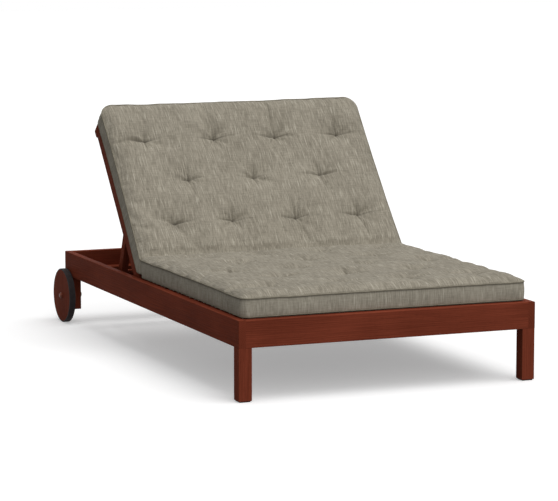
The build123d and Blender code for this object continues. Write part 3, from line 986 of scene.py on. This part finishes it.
@dataclass
class FoldedCushion:
    """One boxed, tufted and piped cover over a flat seat section and a raised back section.

    Args:
        lean: the angle of the back, in radians.
        hinge: the (y, z) place that the back turns about.
        boxing: height of the side bands.
        crown, crown_run: rise of the top above the piped seam, and how far in it is reached.
        pad_seat: how far in front of the hinge line the two sections meet.
        pad_off_hinge: height of the back section's underside off the hinge line.
        overhang_top: where the back section ends, along the back from the hinge.
        fold_floor: height of the level underside of the back section at the fold.
        fan_run: how far from the fold the crossings fan out.
        fold_lift, fold_reach: how far the underside lifts at the fold, and over what distance.
        seam_inset: how far inside the solids the seams run.
        corner, head_corner: rounding of the corners at the foot and at the head end.
        draw_in: how far the sides and ends are waisted.
        crease_width, crease_drop, crease_power: size and sharpness of the crease in the fold.
        side_nip: how far the sides are nipped in at the fold.
        end_steps, fold_steps: the fine steps of the mesh at its edges and from the fold.
        grid: the mesh's other steps.
        fold_density, fold_band: how much closer those are at the tufts, and over what distance.
        tuft: the shape of every tuft.
        band_levels: the heights of the side band's rings of points, as shares of the boxing.
        lower_seam: which of those rings the lower piping follows.
        bulge: how far the side bands belly out.
        tuck, tuck_share: how far the lower edge turns in, and over what share of the band.
        tuck_power: how sharply it does so.
        puckers: length and size of the waves along the side bands.
        rises: length and size of the waves of the filling.
        seam_shade, band_shade, seam_shade_reach: the painted shade beside the piping, above and below.
        piping_radius, piping_ledge: size of the piping, and how far it stands off its seam.
        knot_size: radius of the ties' knots.
        seat_tufts, back_tufts: rows of tufts, as shares of the length and of the width.
        pressure, slack, move_cap: how the filling blows the cover up, and the most that it may move.
        seed: start of the random draws.
    """

    lean: float = math.radians(49.5)
    hinge: Pair = (0.1305, 0.268)
    boxing: float = 0.074
    crown: float = 0.016
    crown_run: float = 0.062
    pad_seat: float = 0.06475
    pad_off_hinge: float = 0.038
    overhang_top: float = 0.8325
    fold_floor: float = 0.3190
    fan_run: float = 0.060
    fold_lift: float = 0.004
    fold_reach: float = 0.006
    seam_inset: float = 0.0025
    corner: float = 0.030
    head_corner: float = 0.058
    draw_in: float = 0.005
    crease_width: float = 0.016
    crease_drop: float = 0.001
    crease_power: float = 1.5
    side_nip: float = 0.005
    end_steps: tuple[float, ...] = (0.0, 0.001, 0.003, 0.006, 0.010, 0.015, 0.020)
    fold_steps: tuple[float, ...] = (0.0, 0.002, 0.005, 0.009, 0.014, 0.020)
    grid: float = 0.00725
    fold_density: float = 1.6
    fold_band: float = 0.020
    tuft: Tuft = Tuft()
    band_levels: tuple[float, ...] = (0.0, 0.02, 0.05, 0.09, 0.13, 0.17, 0.26, 0.42, 0.59, 0.75, 0.88, 0.96)
    lower_seam: int = 3
    bulge: float = 0.0030
    tuck: float = 0.0130
    tuck_share: float = 0.13
    tuck_power: float = 1.4
    puckers: tuple[Pair, ...] = ((0.31, 0.0009), (0.14, 0.0007), (0.061, 0.0005), (0.037, 0.0003))
    rises: tuple[Pair, ...] = ((0.42, 0.0011), (0.27, 0.001), (0.17, 0.0007), (0.11, 0.0005), (0.07, 0.0003))
    seam_shade: float = 0.55
    band_shade: float = 0.45
    seam_shade_reach: float = 0.0035
    piping_radius: float = 0.0026
    piping_ledge: float = 0.0008
    knot_size: float = 0.0026
    seat_tufts: TieRows = (
        (0.163, FOUR_TIES), (0.345, THREE_TIES), (0.527, FOUR_TIES), (0.708, THREE_TIES), (0.890, FOUR_TIES)
    )
    back_tufts: TieRows = (
        (0.262, (-0.337, -0.120, 0.122, 0.364)),
        (0.516, (-0.242, 0.008, 0.264)),
        (0.760, (-0.366, -0.103, 0.135, 0.378)),
    )
    pressure: float = 4.0
    slack: float = -0.035
    move_cap: float = 0.010
    seed: int = 7

    def __post_init__(self) -> None:
        """Take the pad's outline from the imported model."""
        low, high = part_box("seat_cushion")
        self.front = low.y + self.seam_inset
        self.half_width = high.x - self.seam_inset
        self.deck = low.z
        self.fold = self.hinge[0] - self.pad_seat
        self.seat_run = self.fold - self.front
        self.along = np.array([math.cos(self.lean), math.sin(self.lean)])
        self.off = np.array([-math.sin(self.lean), math.cos(self.lean)])
        self.seam_off = self.pad_off_hinge + self.boxing
        self.fold_start = (self.seam_off * math.sin(self.lean) - self.pad_seat) / math.cos(self.lean)
        self.ribs = self._ribs()
        self.ties = np.concatenate(self.tuft_centres())
        self.random = np.random.default_rng(self.seed)

    def _spaced(
        self, length: float, near: Sequence[float], far: Sequence[float], folds: Sequence[float]
    ) -> Array:
        """Step over a length, closer together where the cover creases.

        Args:
            length: the length.
            near, far: the fine steps from its start and from its end.
            folds: places along it where the cover creases.

        Returns:
            The places of the steps.
        """
        samples = 4000
        fine = np.linspace(near[-1], length - far[-1], samples)
        closeness = np.max([fade(fine - fold, self.fold_band) for fold in folds], axis=0)
        steps = np.cumsum((1 + self.fold_density * closeness) / self.grid) * (fine[1] - fine[0])
        count = round(steps[-1] - steps[0]) + 1
        middle = np.interp(np.linspace(steps[0], steps[-1], count), steps, fine)[1:-1]
        return np.concatenate([near, middle, length - np.array(far)[::-1]])

    def _on_back(self, along: Array, off: float) -> Array:
        """The (y, z) places at distances along the back and off its hinge line."""
        return np.array(self.hinge) + np.outer(along, self.along) + off * self.off

    def _meet(self, off: float, height: float) -> tuple[float, float]:
        """Find where a plane of the back cushion meets a level plane.

        Args:
            off: how far the plane is off the hinge line.
            height: the height of the level plane.

        Returns:
            How far along the back they meet, and how far behind the fold.
        """
        along = (height - self.hinge[1] - off * self.off[1]) / self.along[1]
        return along, self._on_back(np.array([along]), off)[0, 0] - self.fold

    def _ribs(self) -> Ribs:
        """Lay out the crossings of the pad, fanned out behind the fold."""
        back_run = self.overhang_top - self.seam_inset - self.fold_start
        seat_folds = [self.seat_run * share for share, _ in self.seat_tufts]
        back_folds = [share * self.overhang_top - self.fold_start for share, _ in self.back_tufts]
        seat = self._spaced(self.seat_run, self.end_steps, self.fold_steps, seat_folds)
        back = self._spaced(back_run, self.fold_steps, self.end_steps, back_folds)[1:]

        fan = self.fan_run
        gap = self.seat_run - seat
        y = self.front + seat
        lean_in = np.clip(1 - gap / fan, 0, 1)
        top = self.deck + self.boxing
        seam_start, seam_shift = self._meet(self.seam_off, top)
        crown_off = self.seam_off + self.crown
        crown_start, crown_shift = self._meet(crown_off, top + self.crown)
        lifted = self.fold_floor + self.fold_lift - self.deck
        floor = self.deck + lifted * fade(gap, self.fold_reach)
        seat_base = np.stack([y, floor], 1)
        seat_seam = np.stack([y + seam_shift * lean_in, np.full(len(y), top)], 1)
        sunk = top + self.crown - self.crease_drop * fade(gap, self.crease_width, self.crease_power)
        seat_crown = np.stack([y + crown_shift * lean_in, sunk], 1)

        turn = self._on_back(np.array([0.0]), self.pad_off_hinge)[0]
        corner_along = (self.fold_floor - turn[1]) / math.sin(self.lean)
        corner = self._on_back(np.array([corner_along]), self.pad_off_hinge)[0]
        level_run = corner[0] - self.fold
        seam_along = self.fold_start + back
        fan_base = np.minimum(back / fan, 1.0) * (level_run + self.fold_start + fan - corner_along)
        on_level = fan_base < level_run
        base_along = np.where(back < fan, corner_along + fan_base - level_run, seam_along)
        back_base = self._on_back(base_along, self.pad_off_hinge)
        back_base[on_level] = np.stack(
            [self.fold + fan_base[on_level], np.full(on_level.sum(), self.fold_floor)], 1
        )
        back_base[:, 1] += self.fold_lift * fade(back, self.fold_reach)
        lean_in = np.clip(1 - back / fan, 0, 1)
        back_seam = self._on_back(seam_along + (seam_start - self.fold_start) * lean_in, self.seam_off)
        back_crown = self._on_back(seam_along + (crown_start - self.fold_start) * lean_in, crown_off)
        back_crown -= np.outer(fade(back, self.crease_width, self.crease_power) * self.crease_drop, self.off)

        seat_line = np.tile([1.0, 0.0], (len(seat), 1))
        back_line = np.tile(self.along, (len(back), 1))
        travel = np.concatenate([seat, self.seat_run + back])
        return Ribs(
            base=np.concatenate([seat_base, back_base]),
            seam=np.concatenate([seat_seam, back_seam]),
            crown=np.concatenate([seat_crown, back_crown]),
            line=np.concatenate([seat_line, back_line]),
            travel=travel,
            end_gap=np.minimum(travel, travel[-1] - travel),
            fold_gap=np.abs(travel - self.seat_run),
        )

    def tuft_centres(self) -> tuple[Array, Array]:
        """Where the tufts are, as (x, travel) pairs, first of the seat and then of the back."""
        width = 2 * (self.half_width + self.seam_inset)
        seat = [(width * x, self.seat_run * share) for share, row in self.seat_tufts for x in row]
        back = []
        for share, row in self.back_tufts:
            travel = self.seat_run + share * self.overhang_top - self.fold_start
            back += [(width * x, travel) for x in row]
        return np.array(seat), np.array(back)

    def _half_widths(self) -> Array:
        """Half the width at each crossing, with waisted sides, a nip at the fold and round corners."""
        ribs, seat_run = self.ribs, self.seat_run
        back_run = ribs.travel[-1] - seat_run
        share = np.where(ribs.travel < seat_run, ribs.travel / seat_run, (ribs.travel - seat_run) / back_run)
        waist = self.draw_in * (1 - (2 * share - 1) ** 2)
        radius = np.where(ribs.travel > ribs.travel[-1] / 2, self.head_corner, self.corner)
        into_corner = np.clip(radius - ribs.end_gap, 0, None)
        rounding = radius - np.sqrt(radius**2 - into_corner**2)
        nip = self.side_nip * fade(ribs.fold_gap, self.fold_reach)
        return self.half_width - waist - rounding - nip

    def _rise(self, gap: Array) -> Array:
        """How much of the crown's height stands at a distance from a seam."""
        return (1 - (1 - np.clip(gap / self.crown_run, 0, 1)) ** 3) ** 0.75

    def _pits(self, x: Array, travel: Array) -> Array:
        """How deep the ties pull the cover down."""
        return sum(self.tuft.pit(x - tie_x, travel - tie_travel) for tie_x, tie_travel in self.ties)

    def _wrinkles(self, x: Array, travel: Array) -> tuple[Array, Array]:
        """Draw the creases and gathers round all the ties.

        Args:
            x, travel: where the points of the cover are when it lies flat.

        Returns:
            How deep each point sinks, and how far a crease shuts the light out of it.
        """
        depth, shade = np.zeros_like(x), np.zeros_like(x)
        for tie_x, tie_travel in self.ties:
            sunk, dark = self.tuft.wrinkle(x - tie_x, travel - tie_travel, self.random)
            depth += sunk
            shade += dark
        return depth, np.clip(shade, 0, self.tuft.darkest)

    def _unevenness(self, x: Array, travel: Array) -> Array:
        """Slow rises and dips of the filling, with a few waves of each length."""
        waves = 3
        height = np.zeros_like(x)
        for length, size in self.rises:
            for _ in range(waves):
                turn, phase = self.random.uniform(0, math.tau), self.random.uniform(0, math.tau)
                wave = (x * math.cos(turn) + travel * math.sin(turn)) * math.tau / length
                height += size * np.cos(wave + phase)
        return height

    def _looseness(self, edge_free: Array) -> Array:
        """How much of the unevenness shows: less by the sides and the fold, more at the head end."""
        edge_share, fold_share, end_share = 0.35, 0.15, 0.6
        fold_reach, end_reach = 0.08, 0.08
        ribs = self.ribs
        loose = edge_share + (1 - edge_share) * edge_free
        loose *= np.clip(ribs.fold_gap / fold_reach, fold_share, 1)[:, None]
        return loose + end_share * np.clip(1 - (ribs.travel[-1] - ribs.travel) / end_reach, 0, 1)[:, None]

    def _simulate(self, places: Array, held: Array) -> Array:
        """Blow the cover up a little over its ties with a cloth simulation.

        Args:
            places: the top of the cover, as a grid of points.
            held: which of them the seams, ties and fold hold still.

        Returns:
            How far each point moves.
        """
        rows, columns, _ = places.shape
        mesh = bpy.data.meshes.new("cover_trial")
        mesh.from_pydata(places.reshape(-1, 3).tolist(), [], grid_faces(rows, columns).tolist())
        trial = new_object("cover_trial", mesh)
        pins = trial.vertex_groups.new(name="held")
        pins.add(np.flatnonzero(held.ravel()).tolist(), 1.0, "REPLACE")
        last_frame = 20
        modifier = trial.modifiers.new("cover", "CLOTH")
        modifier.point_cache.frame_start, modifier.point_cache.frame_end = 1, last_frame
        cloth = modifier.settings
        cloth.quality = 6
        cloth.mass = 0.25
        cloth.tension_stiffness = cloth.compression_stiffness = 18
        cloth.shear_stiffness = 6
        cloth.bending_stiffness = 0.15
        cloth.use_pressure = True
        cloth.uniform_pressure_force = self.pressure
        cloth.shrink_min = self.slack
        cloth.vertex_group_mass = "held"
        cloth.effector_weights.gravity = 0.0
        for step in range(1, last_frame + 1):
            bpy.context.scene.frame_set(step)
        moved = trial.evaluated_get(bpy.context.evaluated_depsgraph_get()).data
        after = np.empty(rows * columns * 3)
        moved.vertices.foreach_get("co", after)
        bpy.context.scene.frame_set(1)
        bpy.data.objects.remove(trial)
        shift = after.reshape(places.shape) - places
        far = np.linalg.norm(shift, axis=-1, keepdims=True)
        return shift * np.minimum(1.0, self.move_cap / np.maximum(far, 1e-9))

    def _swell(self, places: Array, x: Array, travel: Array) -> Array:
        """Movement of the top of the cover under its filling, worked out on every second crossing."""
        tie_hold = 0.010
        rows, columns = x.shape
        row_pick = np.unique(np.append(np.arange(0, rows, 2), rows - 1))
        column_pick = np.unique(np.append(np.arange(0, columns, 2), columns - 1))
        picked = np.ix_(row_pick, column_pick)
        coarse_x, coarse_travel = x[picked], travel[picked]
        held = np.zeros(coarse_x.shape, bool)
        held[0, :] = held[-1, :] = held[:, 0] = held[:, -1] = True
        held |= np.abs(coarse_travel - self.seat_run) < self.fold_reach
        for tie_x, tie_travel in self.ties:
            held |= np.hypot(coarse_x - tie_x, coarse_travel - tie_travel) < tie_hold
        full = self._simulate(places[picked], held)
        for axis, picks, every in ((1, column_pick, np.arange(columns)), (0, row_pick, np.arange(rows))):
            full = np.apply_along_axis(lambda line: np.interp(every, picks, line), axis, full)
        for _ in range(2):
            full[1:-1] = full[1:-1] / 2 + (full[:-2] + full[2:]) / 4
            full[:, 1:-1] = full[:, 1:-1] / 2 + (full[:, :-2] + full[:, 2:]) / 4
        return full

    def _top(self) -> tuple[Array, Array, Array, Array, Array]:
        """Shape the top of the cover.

        Returns:
            Its points as a grid, their x and travel on the flat cover, how far its ends bow in, and its
            painted shade.
        """
        edge_reach, settle_reach, bow_reach = 0.03, 0.06, 0.12
        ribs = self.ribs
        half = self._half_widths()
        folds = self.half_width + self.ties[:, 0]
        steps = self._spaced(2 * self.half_width, self.end_steps, self.end_steps, folds)
        share = steps / self.half_width - 1
        x = half[:, None] * share[None, :]
        travel = np.repeat(ribs.travel[:, None], len(share), 1)
        from_side = half[:, None] - np.abs(x)
        rise = self._rise(from_side) * self._rise(ribs.end_gap)[:, None]
        off = ribs.up()
        edge_free = np.clip(np.minimum(from_side, ribs.end_gap[:, None]) / edge_reach, 0, 1)
        flat = ribs.seam[:, None] + (ribs.crown - ribs.seam)[:, None] * rise[..., None]
        height = self._unevenness(x, travel) * self._looseness(edge_free) - self._pits(x, travel) * edge_free
        near_end = np.clip(1 - ribs.end_gap / bow_reach, 0, 1)
        inward = np.where(ribs.travel < ribs.travel[-1] / 2, 1.0, -1.0)
        bow = self.draw_in * (1 - share**2)[None, :] * (near_end * inward)[:, None]
        flat = flat + off[:, None] * height[..., None] + ribs.line[:, None] * bow[..., None]
        places = np.concatenate([x[..., None], flat], -1)
        settled = np.clip(ribs.fold_gap / settle_reach, 0, 1)[:, None, None]
        places += self._swell(places, x, travel) * settled
        fine, shade = self._wrinkles(x, travel)
        on_seat = (ribs.travel < self.seat_run)[:, None]
        # painted shade along the piped seams: on the seat's sides and at both ends the top darkens next to
        # the cord
        to_seam = np.minimum(np.where(on_seat, from_side, 1.0), ribs.end_gap[:, None])
        shade = np.maximum(shade, self.seam_shade * fade(to_seam, self.seam_shade_reach))
        places[..., 1:] -= off[:, None] * (fine * edge_free)[..., None]
        return places, x, travel, bow, shade

    def _rim(self, x: Array, travel: Array) -> Rim:
        """Follow the edge of the grid that has its points at x and travel."""
        rows, columns = x.shape
        index = np.arange(rows * columns).reshape(rows, columns)
        points = np.concatenate([index[0, :], index[1:, -1], index[-1, -2::-1], index[-2:0:-1, 0]])
        rim_x, rim_travel = x.ravel()[points], travel.ravel()[points]
        next_x, next_travel = np.roll(rim_x, -1), np.roll(rim_travel, -1)
        step_x, step_travel = next_x - np.roll(rim_x, 1), next_travel - np.roll(rim_travel, 1)
        length = np.hypot(step_x, step_travel)
        return Rim(
            points=points,
            rib=points // columns,
            x=rim_x,
            travel=rim_travel,
            out_x=step_travel / length,
            out_travel=-step_x / length,
            run=np.append(0.0, np.cumsum(np.hypot(next_x - rim_x, next_travel - rim_travel))),
        )

    def _band(self, rim: Rim, seam: Array, bow: Array) -> list[Array]:
        """Shape the side band.

        Args:
            rim: the edge of the top.
            seam: the places of its points.
            bow: how far the ends bow in there.

        Returns:
            Its rings of points, from the underside up.
        """
        run = rim.run[:-1]
        pucker = sum(
            np.cos(run * math.tau / wave + self.random.uniform(0, 6)) * size for wave, size in self.puckers
        )
        line = self.ribs.line[rim.rib]
        low = self.ribs.base[rim.rib] + line * bow[:, None]
        band = []
        for level in self.band_levels:
            out = (self.bulge + pucker) * math.sin(math.pi * level)
            out -= self.tuck * max(0.0, 1 - level / self.tuck_share) ** self.tuck_power
            side = low + (seam[:, 1:] - low) * level + line * (rim.out_travel * out)[:, None]
            band.append(np.concatenate([(seam[:, 0] + rim.out_x * out)[:, None], side], 1))
        return band

    def _faces(
        self, x: Array, travel: Array, rim: Rim, band_start: float
    ) -> tuple[list[list[int]], list[list[Pair]]]:
        """Join the points of the top and the side band, and close the underside.

        Args:
            x, travel: where the points of the top are on the flat cover.
            rim: its edge.
            band_start: where the side bands' part of the map starts.

        Returns:
            The faces, and the places of their corners on the map.
        """
        rows, columns = x.shape
        count, first = len(rim.points), rows * columns
        quads = grid_faces(rows, columns)
        faces = quads.tolist()
        maps = np.stack([x.ravel(), travel.ravel()], 1)[quads].tolist()
        rings = [first + number * count + np.arange(count) for number in range(len(self.band_levels))]
        rings.append(rim.points)
        heights = np.append(self.band_levels, 1.0) * self.boxing
        u0, u1 = band_start + rim.run[:-1], band_start + rim.run[1:]
        for lower, upper, low, high in zip(rings, rings[1:], heights, heights[1:]):
            faces += np.stack([lower, np.roll(lower, -1), np.roll(upper, -1), upper], 1).tolist()
            v0, v1 = np.full(count, low), np.full(count, high)
            corners = [np.stack(pair, 1) for pair in ((u0, v0), (u1, v0), (u1, v1), (u0, v1))]
            maps += np.stack(corners, 1).tolist()
        right = [columns - 1 + row for row in range(rows)]
        left = [-row % count for row in range(rows)]
        for row in range(rows - 1):
            face = [left[row], left[row + 1], right[row + 1], right[row]]
            if row == 0:
                face += list(range(columns - 2, 0, -1))
            if row == rows - 2:
                face = face[:2] + list(range(left[rows - 1] - 1, right[rows - 1], -1)) + face[2:]
            faces.append([first + number for number in face])
            maps.append([(rim.x[number], rim.travel[number]) for number in face])
        return faces, maps

    def build(self, cloth: Material, band_start: float) -> tuple[Object, Array, Array, Array]:
        """Build the cover as one closed mesh.

        Args:
            cloth: its material.
            band_start: where the side bands' part of its map starts.

        Returns:
            The object, the closed lines of its upper and lower piped seams, and the grid of its top.
        """
        top, x, travel, bow, shade = self._top()
        rim = self._rim(x, travel)
        seam = top.reshape(-1, 3)[rim.points]
        band = self._band(rim, seam, bow.ravel()[rim.points])
        faces, maps = self._faces(x, travel, rim, band_start)
        mesh = bpy.data.meshes.new("tufted_cushion")
        mesh.from_pydata(np.concatenate([top.reshape(-1, 3), *band]).tolist(), [], faces)
        uv = mesh.uv_layers.new(name="cloth")
        uv.data.foreach_set("uv", np.array([pair for face in maps for pair in face], np.float32).ravel())
        # painted shade under the upper piping, on the side band's top ring
        under_seam = np.zeros((len(band), len(rim.points)))
        under_seam[-1] = self.band_shade
        painted_shade = mesh.attributes.new("painted_shade", "FLOAT", "POINT")
        painted_shade.data.foreach_set("value", np.append(shade, under_seam))
        mesh.polygons.foreach_set("use_smooth", [True] * len(mesh.polygons))
        mesh.materials.append(cloth)
        out = np.concatenate([rim.out_x[:, None], self.ribs.line[rim.rib] * rim.out_travel[:, None]], 1)
        upper = seam + out * self.piping_ledge
        upper[:, 1:] += self.ribs.up()[rim.rib] * self.piping_ledge / 2
        lower = band[self.lower_seam] + out * self.piping_radius / 2
        return new_object("tufted_cushion", mesh), upper, lower, top

    def piping(self, name: str, line: Array, finish: Material) -> Object:
        """Run a round cord round a closed seam line."""
        tree = PieceTree("seam_cord", {"Cord Radius": self.piping_radius})
        curve = tree.node("GeometryNodeMeshToCurve", inputs={"Mesh": tree.entry["Geometry"]})
        sizes = {"Resolution": 8, "Radius": tree.entry["Cord Radius"]}
        ring = tree.node("GeometryNodeCurvePrimitiveCircle", inputs=sizes)
        tree.close(tree.node("GeometryNodeCurveToMesh", inputs={"Curve": curve, "Profile Curve": ring}))
        count = len(line)
        mesh = bpy.data.meshes.new("seam_line")
        mesh.from_pydata(line.tolist(), [(k, (k + 1) % count) for k in range(count)], [])
        return tree.grow(name, mesh, finish)

    def knots(self, top: Array, finish: Material) -> list[Object]:
        """Knot a short tie in the pit of every tuft, one piece for each section."""
        strand_shapes = ((1.9, 0.5, 0.45), (0.5, 1.5, 0.5))
        knot_rise = 0.0006
        tree = PieceTree("tuft_ties", {"Knot Size": self.knot_size})
        sizes = {"Segments": 10, "Rings": 6, "Radius": tree.entry["Knot Size"]}
        ball = tree.node("GeometryNodeMeshUVSphere", inputs=sizes)
        strands = tree.node("GeometryNodeJoinGeometry")
        for shape in strand_shapes:
            strand = tree.node("GeometryNodeTransform", inputs={"Geometry": ball, "Scale": shape})
            tree.feed(strands.inputs[0], strand)
        tree.close(tree.stamp(strands))
        pieces = []
        sections = (("seat", Body.FRAME, (0.0, 1.0)), ("back", Body.BACKREST, tuple(self.off)))
        for (name, body, way), centres in zip(sections, self.tuft_centres()):
            up = np.array([0.0, *way])
            places = []
            for tie_x, tie_travel in centres:
                row = np.argmin(np.abs(self.ribs.travel - tie_travel))
                column = np.argmin(np.abs(top[row, :, 0] - tie_x))
                places.append(top[row, column] + knot_rise * up)
            points = points_mesh(name + "_ties", places, [up] * len(places))
            piece = tree.grow(name + "_ties", points, finish)
            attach(piece, body.value)
            pieces.append(piece)
        return pieces


# Studio


@dataclass(frozen=True)
class Lamp:
    """A large soft lamp a long way off.

    Args:
        name: its name.
        towards: the direction from the chaise to the lamp.
        strength: its light on a surface that faces it.
        spread: how wide it looks from the chaise, in radians.
    """

    name: str
    towards: Point
    strength: float
    spread: float

    def hang(self) -> None:
        """Put the lamp in the scene."""
        data = bpy.data.lights.new(self.name, "SUN")
        data.energy = self.strength * math.pi
        data.angle = self.spread
        lamp = bpy.data.objects.new(self.name, data)
        lamp.rotation_euler = Vector(self.towards).to_track_quat("Z", "Y").to_euler()
        bpy.context.scene.collection.objects.link(lamp)


@dataclass
class Studio:
    """A plain white floor, soft lamps and the camera.

    Args:
        camera_place, camera_pitch, camera_turn: where the camera stands and how it is turned.
        focal_length, film_width: its lens, in millimetres.
        ambient: light from all round.
        floor_size: width of the floor.
        floor_bounce: share of light that the floor gives back to the chaise.
        floor_white: share of light that the floor shows to the camera.
        floor_glow: what the floor adds of its own for the camera, so that it is white.
        lamps: the soft lamps.
    """

    camera_place: Point = (-4.11403, -9.95201, 1.85779)
    camera_pitch: float = math.radians(90 - 7.7075)
    camera_turn: float = math.radians(-22.4166)
    focal_length: float = 170.585
    film_width: float = 36.0
    ambient: float = 0.28
    floor_size: float = 60.0
    floor_bounce: float = 0.21
    floor_white: float = 0.8
    floor_glow: float = 0.34
    lamps: tuple[Lamp, ...] = (
        Lamp("key_lamp", (0.24, -0.19, 0.95), 0.60, 1.05),
        Lamp("front_lamp", (0.10, -0.92, 0.36), 0.33, 1.0),
    )

    def set_up(self) -> None:
        """Build the floor, the lamps, the world and the camera."""
        bpy.context.scene.view_settings.view_transform = "Standard"
        self._floor()
        self._world()
        for lamp in self.lamps:
            lamp.hang()
        data = bpy.data.cameras.new("camera")
        data.lens = self.focal_length
        data.sensor_width = self.film_width
        data.clip_end = 100.0
        camera = bpy.data.objects.new("camera", data)
        camera.location = self.camera_place
        camera.rotation_euler = (self.camera_pitch, 0.0, self.camera_turn)
        bpy.context.scene.collection.objects.link(camera)
        bpy.context.scene.camera = camera

    @staticmethod
    def _close(tree: NodeTree, output: str, light: Node, shown: Node) -> None:
        """End a tree with light for the chaise, and what the camera, a reflection or clear glass sees."""
        path = tree.node("ShaderNodeLightPath").outputs
        rays = ("Is Camera Ray", "Is Glossy Ray", "Is Transmission Ray")
        camera, glossy, clear = (Value(tree, path[ray]) for ray in rays)
        shaders = {"Fac": camera.most(glossy).most(clear), "Shader": light, "Shader_001": shown}
        tree.node(output, inputs={"Surface": tree.node("ShaderNodeMixShader", inputs=shaders)})

    def _floor(self) -> None:
        """Lay the floor."""
        side = self.floor_size / 2
        corners = [(-side, -side, 0), (side, -side, 0), (side, side, 0), (-side, side, 0)]
        mesh = bpy.data.meshes.new("floor")
        mesh.from_pydata(corners, [], [(0, 1, 2, 3)])
        tree = ShaderTree("studio_floor")
        soft, white = (
            tree.node("ShaderNodeBsdfDiffuse", inputs={"Color": (share, share, share, 1.0)})
            for share in (self.floor_bounce, self.floor_white)
        )
        glow = tree.node("ShaderNodeEmission", inputs={"Strength": self.floor_glow})
        shown = tree.node("ShaderNodeAddShader", inputs={"Shader": white, "Shader_001": glow})
        self._close(tree, "ShaderNodeOutputMaterial", soft, shown)
        mesh.materials.append(tree.material)
        new_object("floor", mesh)

    def _world(self) -> None:
        """Light the room evenly and show it white."""
        world = bpy.data.worlds.new("studio")
        world.use_nodes = True
        bpy.context.scene.world = world
        tree = NodeTree(world.node_tree)
        white = (1.0, 1.0, 1.0, 1.0)
        light, shown = (
            tree.node("ShaderNodeBackground", inputs={"Color": white, "Strength": strength})
            for strength in (self.ambient, 1.0)
        )
        self._close(tree, "ShaderNodeOutputWorld", light, shown)


def dress_node(node: str, finish: Material) -> None:
    """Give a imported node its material."""
    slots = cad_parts[node].material_slots
    for slot in slots:
        slot.link = "DATA"
        slot.material = finish
    log.info("dressed %s", node)


def build_cushion() -> None:
    """Make the cushion with its piping and ties; the ties move with the frame and the back."""
    cushion, cloth = FoldedCushion(), WovenCloth()
    pad, upper, lower, top = cushion.build(cloth.dress("cloth"), cloth.band_start)
    cord_cloth = PIPING.dress()
    upper_cord = cushion.piping("upper_piping", upper, cord_cloth)
    lower_cord = cushion.piping("lower_piping", lower, cord_cloth)
    for piece in (pad, upper_cord, lower_cord):
        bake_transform(piece)
        log.info("built %s, %d faces", piece.name, len(piece.data.polygons))
    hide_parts("seat_cushion", "back_cushion")
    for piece in cushion.knots(top, THREAD.dress()):
        log.info("built %s", piece.name)


def main() -> None:
    """Build and dress the chaise in order."""
    logging.basicConfig(level=logging.INFO, format="%(name)s: %(message)s")
    deck, back, wheels = DeckFrame(), Backrest(), Wheels()
    wood = StainedWood()
    seed_step = 1.7
    steel = STEEL.dress()
    for number, board in enumerate(deck.boards() + back.boards() + wheels.boards()):
        dress_node(board.node, wood.dress(board, seed_step * number))
    for node in deck.metal() + back.metal():
        dress_node(node, steel)
    finished = {}
    for node, finish in (wheels.finishes() | {"foot_glides": GLIDE_PLASTIC}).items():
        if finish.name not in finished:
            finished[finish.name] = finish.dress()
        dress_node(node, finished[finish.name])
    for piece in (deck.screws(steel), back.screws(steel)):
        log.info("built %s", piece.name)
    build_cushion()
    Studio().set_up()


if __name__ == "__main__":
    main()
